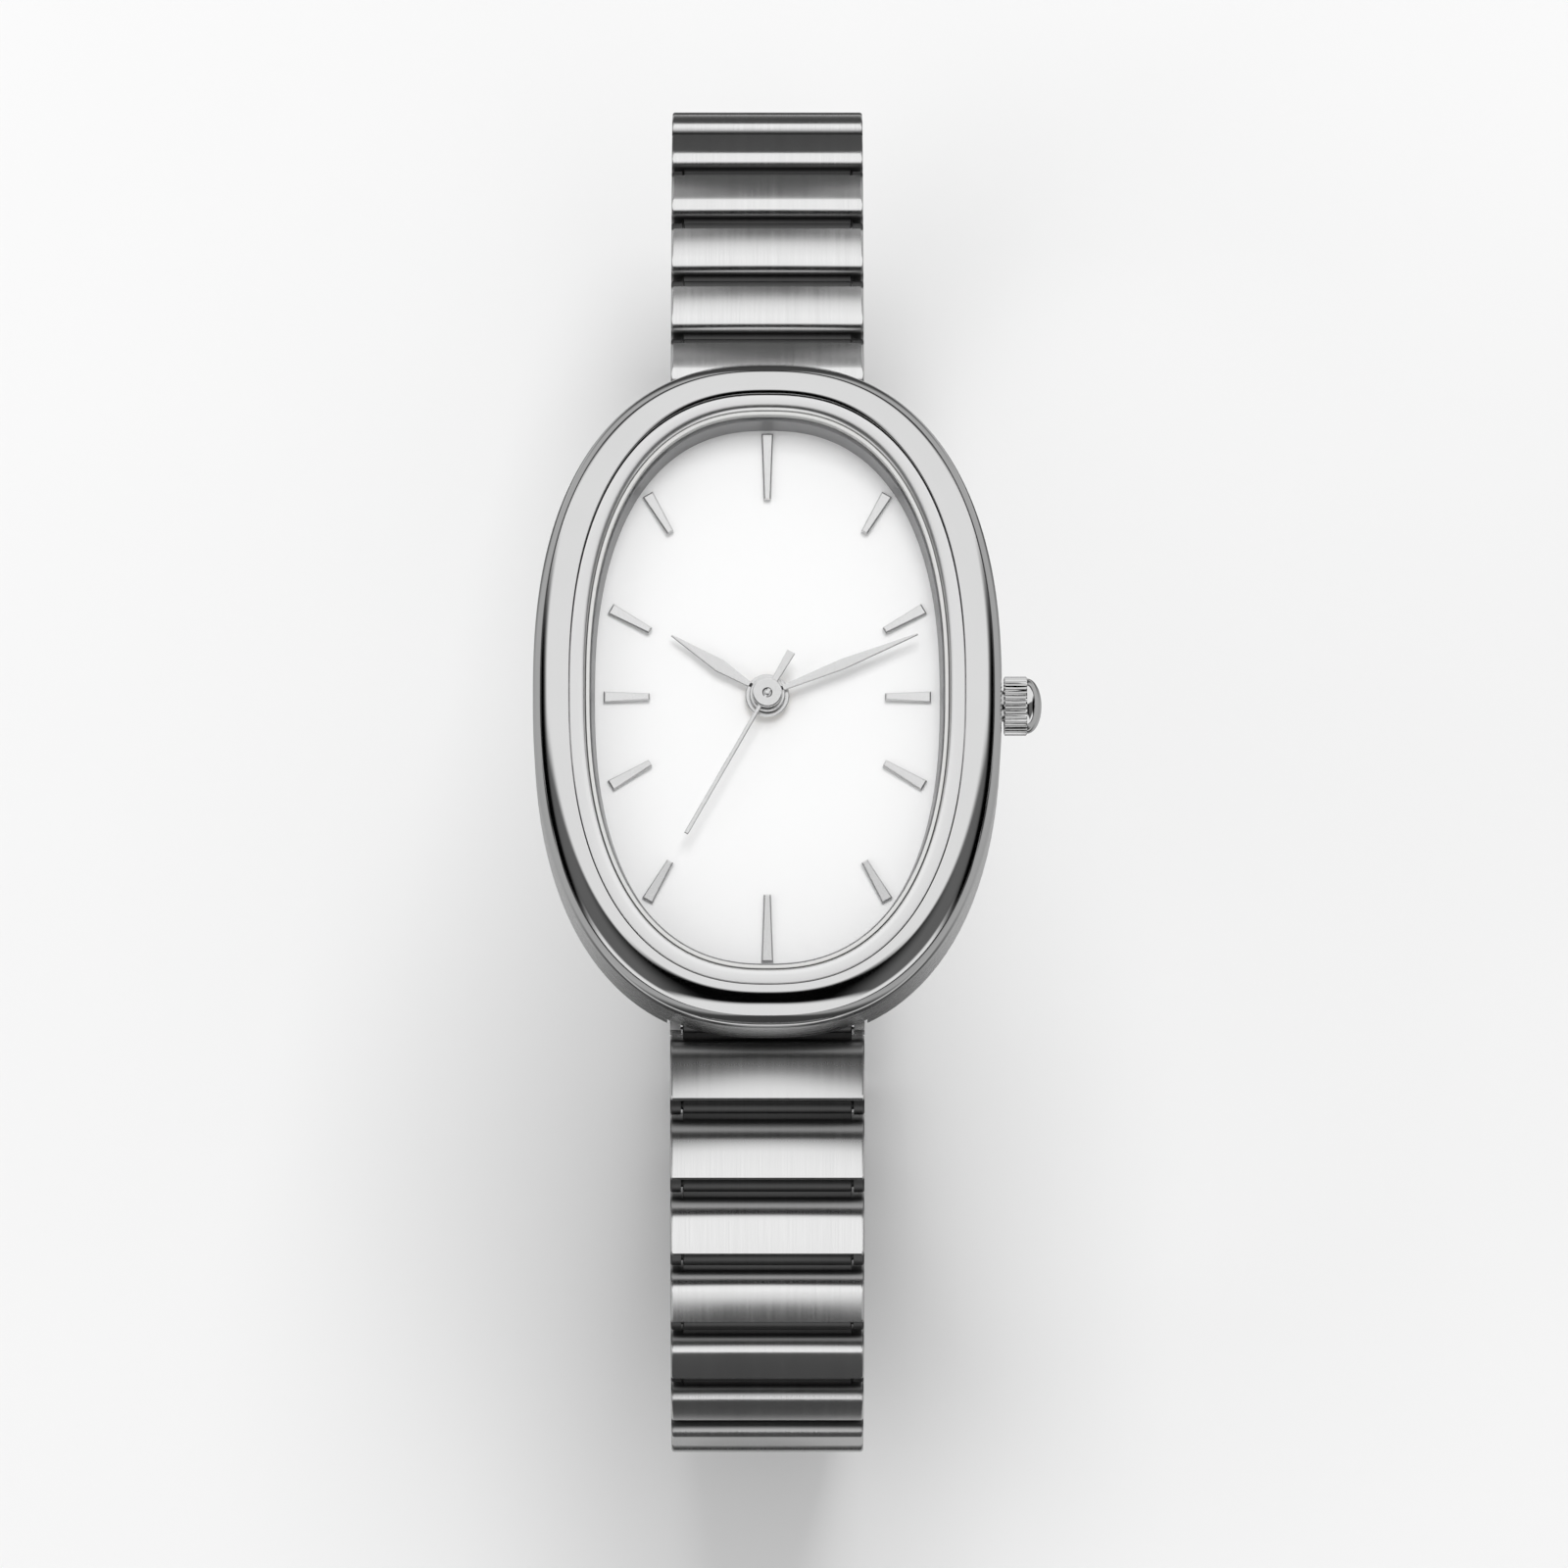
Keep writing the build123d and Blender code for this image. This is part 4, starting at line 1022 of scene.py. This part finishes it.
def ear_skin(pitch, left, right):
    """An ear with its bore: a rounded tab round the outer pin, joined to the bore's circle.

    Behind the pin v is EAR_SQUARE times as steep, held at the radius, and u reaches to the plate."""
    bore = arc((pitch, 0), PIN_RADIUS + BORE_PLAY, 0, 360 - 360 / EAR_STEPS, EAR_STEPS)
    tab = arc((pitch, 0), KNUCKLE_RADIUS, 0, 360 - 360 / EAR_STEPS, EAR_STEPS)
    root = pitch - KNUCKLE_RADIUS - KNUCKLE_CLEAR - FACE_GAP
    behind = tab[:, 0] < pitch
    squared = np.minimum(1, np.abs(tab[behind, 1]) / KNUCKLE_RADIUS * EAR_SQUARE)
    tab[behind, 1] = np.sign(tab[behind, 1]) * KNUCKLE_RADIUS * squared
    tab[behind, 0] = pitch - (pitch - tab[behind, 0]) * (pitch - root) / KNUCKLE_RADIUS
    drawn_in = tab + (np.array([pitch, 0]) - tab) * (EAR_EDGE / KNUCKLE_RADIUS)
    stations = ((left, bore), (left, tab), (right - EAR_EDGE, tab), (right, drawn_in), (right, bore))
    rings = [np.column_stack([np.full(EAR_STEPS, x), shape]) for x, shape in stations]
    return skin(np.array(rings), closed=True)


def link_skins(pitch, outline):
    """Plate, then barrel, neck, ears and pin, each as points (x, u, v) with faces."""
    plate = bar_across(outline, LINK_HALF, SIDE_ROUND)
    knuckle_half = LINK_HALF - EAR_WIDTH - SIDE_PLAY
    barrel = bar_across(circle_outline((0, 0), KNUCKLE_RADIUS), knuckle_half, BARREL_EDGE)
    neck_end = FACE_START + FACE_GAP
    neck_box = np.array([[0.0, NECK_HALF], [neck_end, NECK_HALF], [neck_end, -NECK_HALF], [0.0, -NECK_HALF]])
    neck = bar_across(neck_box, knuckle_half, NECK_EDGE, 2)
    right_ear = ear_skin(pitch, LINK_HALF - EAR_WIDTH, LINK_HALF)
    left_ear = (right_ear[0] * [-1, 1, 1], right_ear[1])
    pin = bar_across(circle_outline((pitch, 0), PIN_RADIUS, 24), LINK_HALF - PIN_END_GAP, PIN_EDGE, 2)
    return [plate, barrel, neck, right_ear, left_ear, pin]


print("barrel length in mm:", round(2 * (LINK_HALF - EAR_WIDTH - SIDE_PLAY) / MM, 2))

# %% [markdown]
# ## The band
#
# All links of a side have one shape, so it is worked out once and laid between each two pins, which the
# frame's joints give. Each link then gets its raw share: a number on every point for how little the brush
# has reached it, which also paints the shade in the gaps between links. The first links at 6 o'clock lie
# in the case's shadow and start almost black, so there the painted shade goes on farther.

# %% Links on their pins
LINKS_PER_SIDE = 14
LINK_SMOOTH = math.radians(35)
# painted shade: how far the dark raw share reaches over a link's face, farther where the case's shadow falls
RAW_SHADE_REACH = {"12h": 0.45 * MM, "6h": 0.95 * MM}
CASE_SHADE_REACH = (2.30 * MM, 1.90 * MM, 1.30 * MM)


def chain_pins(hour_name, side):
    """Pins of one half of the bracelet from the case outwards; the last is level with the clasp's pin."""
    names = [f"link_{hour_name}_{number:02d}_hinge" for number in range(1, LINKS_PER_SIDE + 1)]
    pins = [np.array(JOINT_PLACES[name][1:]) for name in names]
    clasp_pin = np.array(JOINT_PLACES["clasp_hinge"][1:])
    if side > 0:
        pins.append(clasp_pin)
    else:
        pitch = np.linalg.norm(pins[1] - pins[0])
        drop = pins[-1][1] - clasp_pin[1]
        pins.append(pins[-1] + [math.sqrt(pitch**2 - drop**2), -drop])
    return pins


def placed(points, inner, outer, side):
    """Lay (x, u, v) on the line between two pins: u along it, v square to it on the band's outside."""
    along = (outer - inner) / np.linalg.norm(outer - inner)
    outside = np.array([-along[1], along[0]]) * side
    flat = inner + points[:, 1:2] * along + points[:, 2:3] * outside
    return np.column_stack([points[:, 0], flat])


def raw_and_shade_shares(outline, reach, count):
    """How raw each of a link's points is, which paints both a raw finish and the shade in the gaps: 1 at
    the rise and round the hollow, falling to 0 over the face.

    With s the way along the outline over the reach, at most 1, the share is 1 - s^2 (3 - 2 s). Both lids
    of the plate are brushed, and the barrel, neck, ears and pin are raw and in painted shade all over."""
    steps = np.linalg.norm(np.diff(outline, axis=0), axis=1)
    way = np.clip(np.concatenate([[0], np.cumsum(steps)]) / reach, 0, 1)
    around = 1 - way**2 * (3 - 2 * way)
    around[SHOULDER_STEPS + CREST_STEPS + 1:-2] = 1
    rings = np.tile(around, (PLATE_RINGS, 1))
    rings[[0, -1]] = 0
    shares = np.ones(count)
    shares[:rings.size] = rings.ravel()
    return shares


for side, hour_name in ((1, "12h"), (-1, "6h")):
    pins = chain_pins(hour_name, side)
    pitch = np.linalg.norm(pins[1] - pins[0])
    outline = link_outline(pitch)
    shapes = link_skins(pitch, outline)
    reaches = [RAW_SHADE_REACH[hour_name]] * LINKS_PER_SIDE
    if side < 0:
        reaches[:len(CASE_SHADE_REACH)] = CASE_SHADE_REACH
    for number, (inner, outer, reach) in enumerate(zip(pins, pins[1:], reaches), start=1):
        link = joined([(placed(points, inner, outer, side), faces) for points, faces in shapes])
        node = f"link_{hour_name}_{number:02d}"
        made = piece(f"{node}_steel", link, node, link_steel, [node], LINK_SMOOTH)
        # painted shade: the raw share darkens each link where shade falls in the gaps and under the case
        raw = made.data.attributes.new(RAW_AND_SHADE_SHARE, "FLOAT", "POINT")
        raw.data.foreach_set("value", raw_and_shade_shares(outline, reach, len(link[0])))
    print(hour_name, "pitch in mm:", round(pitch / MM, 3))

# %% [markdown]
# ## Studio
#
# Steel shows the room more than itself. A pale floor and a pale sky give plain soft light. A photographer
# puts the dark lines into a steel bezel with black cards and with the dark round the lens. Cards could
# stand round the watch, but they would shade it too, so the sky itself goes dark in those directions, and
# only for the rays that come from a mirror. The camera's place comes first, for the dark round the lens.

# %% Where the camera stands
CAMERA_TILT = math.radians(12)
CAMERA_DISTANCE = 1.10
dial_centre = Vector((0, 0, dial_high))
view_back = Vector((0, -math.sin(CAMERA_TILT), math.cos(CAMERA_TILT)))
camera_place = dial_centre + view_back * CAMERA_DISTANCE
print("camera stands at, in mm:", [round(value / MM) for value in camera_place])

# %% [markdown]
# A direction of the sky is a point of a unit ball: its x, y and z say how far aside, how far towards 12
# o'clock and how high it lies. Each dark place is a smooth climb over these: the lens, the two sides, the
# low sky beyond 12, and a card beyond 6 whose near and far edges are bent.

# %% Sky
SKY_LEVEL = 0.66
BACKDROP_LEVEL = 0.90
MIRROR_LEVEL = 0.94
LENS_DARK = (math.radians(11), math.radians(19))
SIDE_DARK = (math.radians(30), math.radians(14))
LOW_DARK = (math.radians(9), math.radians(0))
TOP_SIDE = (0.5, 0.8)
CARD_NEAR = (-0.05, -0.16)
CARD_NEAR_BEND = 0.3
CARD_FAR = (-0.74, -0.58)
CARD_FAR_BEND = 0.35
CARD_END = (1.05, 0.88)
CARD_FOOT = (0.14, 0.30)
CARD_FADE = (0.20, 0.66)
CARD_FADE_SHARE = 0.15

scene = bpy.context.scene
scene.world = bpy.data.worlds.new("studio_sky")
scene.world.use_nodes = True
sky = Tree(scene.world.node_tree)
towards = sky.node("ShaderNodeTexCoord", output="Generated")
sockets = {0: towards, 1: view_back}
to_lens = sky.node("ShaderNodeVectorMath", {"operation": "DOT_PRODUCT"}, sockets, output="Value")
lens = sky.step(to_lens, math.cos(LENS_DARK[1]), math.cos(LENS_DARK[0]), 1.0, 0.0)
aside_x = sky.part(sky.unsigned(towards), "X")
towards_y, towards_z = sky.part(towards, "Y"), sky.part(towards, "Z")
sides = sky.step(aside_x, math.cos(SIDE_DARK[0]), math.cos(SIDE_DARK[1]), 1.0, 0.0)
is_low = sky.step(towards_z, math.sin(LOW_DARK[0]), math.sin(LOW_DARK[1]))
is_top_side = sky.step(towards_y, *TOP_SIDE)
near_edge = sky.step(towards_y - CARD_NEAR_BEND * aside_x, *CARD_NEAR)
far_edge = sky.step(towards_y + CARD_FAR_BEND * aside_x, *CARD_FAR)
card = near_edge * far_edge * sky.step(aside_x, *CARD_END) * sky.step(towards_z, *CARD_FOOT)
card = card * (1 - sky.step(aside_x, *CARD_FADE) * CARD_FADE_SHARE)
mirrored = lens * (1 - card) * sides * (1 - is_low * is_top_side) * MIRROR_LEVEL
plain = SKY_LEVEL + sky.is_ray("Camera") * (BACKDROP_LEVEL - SKY_LEVEL)
strength = plain + sky.is_ray("Glossy") * (mirrored - SKY_LEVEL)
background = sky.tree.nodes["Background"]
background.inputs["Color"].default_value = grey(1.0)
sky.tree.links.new(strength.socket, background.inputs["Strength"])
print("nodes in the sky:", len(sky.tree.nodes))

# %% [markdown]
# The floor is pale paper, just below the clasp, so that the two don't share a plane. Steel would mirror
# it as one bright sheet, so mirror rays find a painted reflection there instead: a dark floor, painted
# shade round the watch, with painted pale patches of light beside the watch, under the band's two ends
# and farther out.

# %% Floor
FLOOR_HALF = 1.5
FLOOR_DROP = 0.05 * MM
PAPER_PITCH = 30 * MM
PAPER = (grey(0.83), grey(0.85))
# painted reflection: the floor that mirrors see, dark for shade and pale where light falls
PAINTED_REFLECTION = (grey(0.05), grey(0.475))
BESIDE_X = ((8 * MM, 16 * MM), (120 * MM, 30 * MM))
BESIDE_Y = (26 * MM, 8 * MM)
BESIDE_LIGHT = 0.8
ENDS_Y = ((30 * MM, 35 * MM), (50 * MM, 44 * MM))
FAR_X = ((24 * MM, 64 * MM), (320 * MM, 200 * MM))
FAR_LIGHT = 0.85

floor_corners = [(x, y, 0) for x, y in ((-1, -1), (1, -1), (1, 1), (-1, 1))]
floor_points = np.array(floor_corners, float) * FLOOR_HALF - [0, 0, FLOOR_DROP]
floor_mesh = bpy.data.meshes.new("floor")
floor_mesh.from_pydata(floor_points.tolist(), [], [(0, 1, 2, 3)])
floor = added("floor", floor_mesh)
ground = Finish("floor_paper", Roughness=0.9, Specular_IOR_Level=0.1)
paper = ground.blend(ground.noise(PAPER_PITCH), *PAPER)
spot = ground.unsigned(ground.place())
spot_x, spot_y = ground.part(spot, "X"), ground.part(spot, "Y")
beside = ground.band(spot_x, *BESIDE_X) * ground.step(spot_y, *BESIDE_Y)
under_ends = ground.band(spot_y, *ENDS_Y)
far_aside = ground.band(spot_x, *FAR_X)
far_light = under_ends + (FAR_LIGHT - under_ends) * far_aside
spot_light = BESIDE_LIGHT * beside + (1 - beside) * far_light
# painted reflection: only mirror rays see this dark floor with its pale patches of light
painted_reflection = ground.blend(spot_light, *PAINTED_REFLECTION)
ground.set("Base Color", ground.blend(ground.is_ray("Glossy"), paper, painted_reflection))
floor.data.materials.append(ground.material)
print("nodes in the floor's finish:", len(ground.tree.nodes))

# %% [markdown]
# Two soft boxes give the light a direction, one high beyond 12 o'clock and a weak one from the left. In
# steel they would show as bright squares, so mirror rays don't see them.

# %% Lamps
LAMP_SIZE = 0.4
LAMPS = {"top_softbox": ((0.05, 0.35, 0.75), 3.35), "left_softbox": ((-0.6, -0.1, 0.5), 0.70)}

for name, (place, watts) in LAMPS.items():
    lamp = bpy.data.lights.new(name, "AREA")
    lamp.shape = "SQUARE"
    lamp.size = LAMP_SIZE
    lamp.energy = watts
    holder = added(name, lamp)
    holder.location = place
    holder.rotation_euler = (dial_centre - Vector(place)).to_track_quat("-Z", "Y").to_euler()
    holder.visible_glossy = False
print("lamps:", list(LAMPS))

# %% [markdown]
# The photograph's scale, in pixels for a millimetre at the dial, gives the length of the lens. The
# camera looks straight at the dial's centre, and the shift alone moves that point to its pixel.

# %% Camera
SENSOR = 36.0
PHOTO_WIDTH = 1600
PIXELS_PER_MM = 19.85
DIAL_PIXEL = (783, 712)

optics = bpy.data.cameras.new("photo_camera")
optics.sensor_width = SENSOR
optics.lens = SENSOR * PIXELS_PER_MM / MM * CAMERA_DISTANCE / PHOTO_WIDTH
optics.shift_x = (PHOTO_WIDTH / 2 - DIAL_PIXEL[0]) / PHOTO_WIDTH
optics.shift_y = -(PHOTO_WIDTH / 2 - DIAL_PIXEL[1]) / PHOTO_WIDTH
optics.clip_start = 0.01
camera = added("photo_camera", optics)
camera.location = camera_place
camera.rotation_euler = (-view_back).to_track_quat("-Z", "Y").to_euler()
scene.camera = camera
scene.view_settings.view_transform = "Standard"
print("lens in mm:", round(optics.lens, 1))
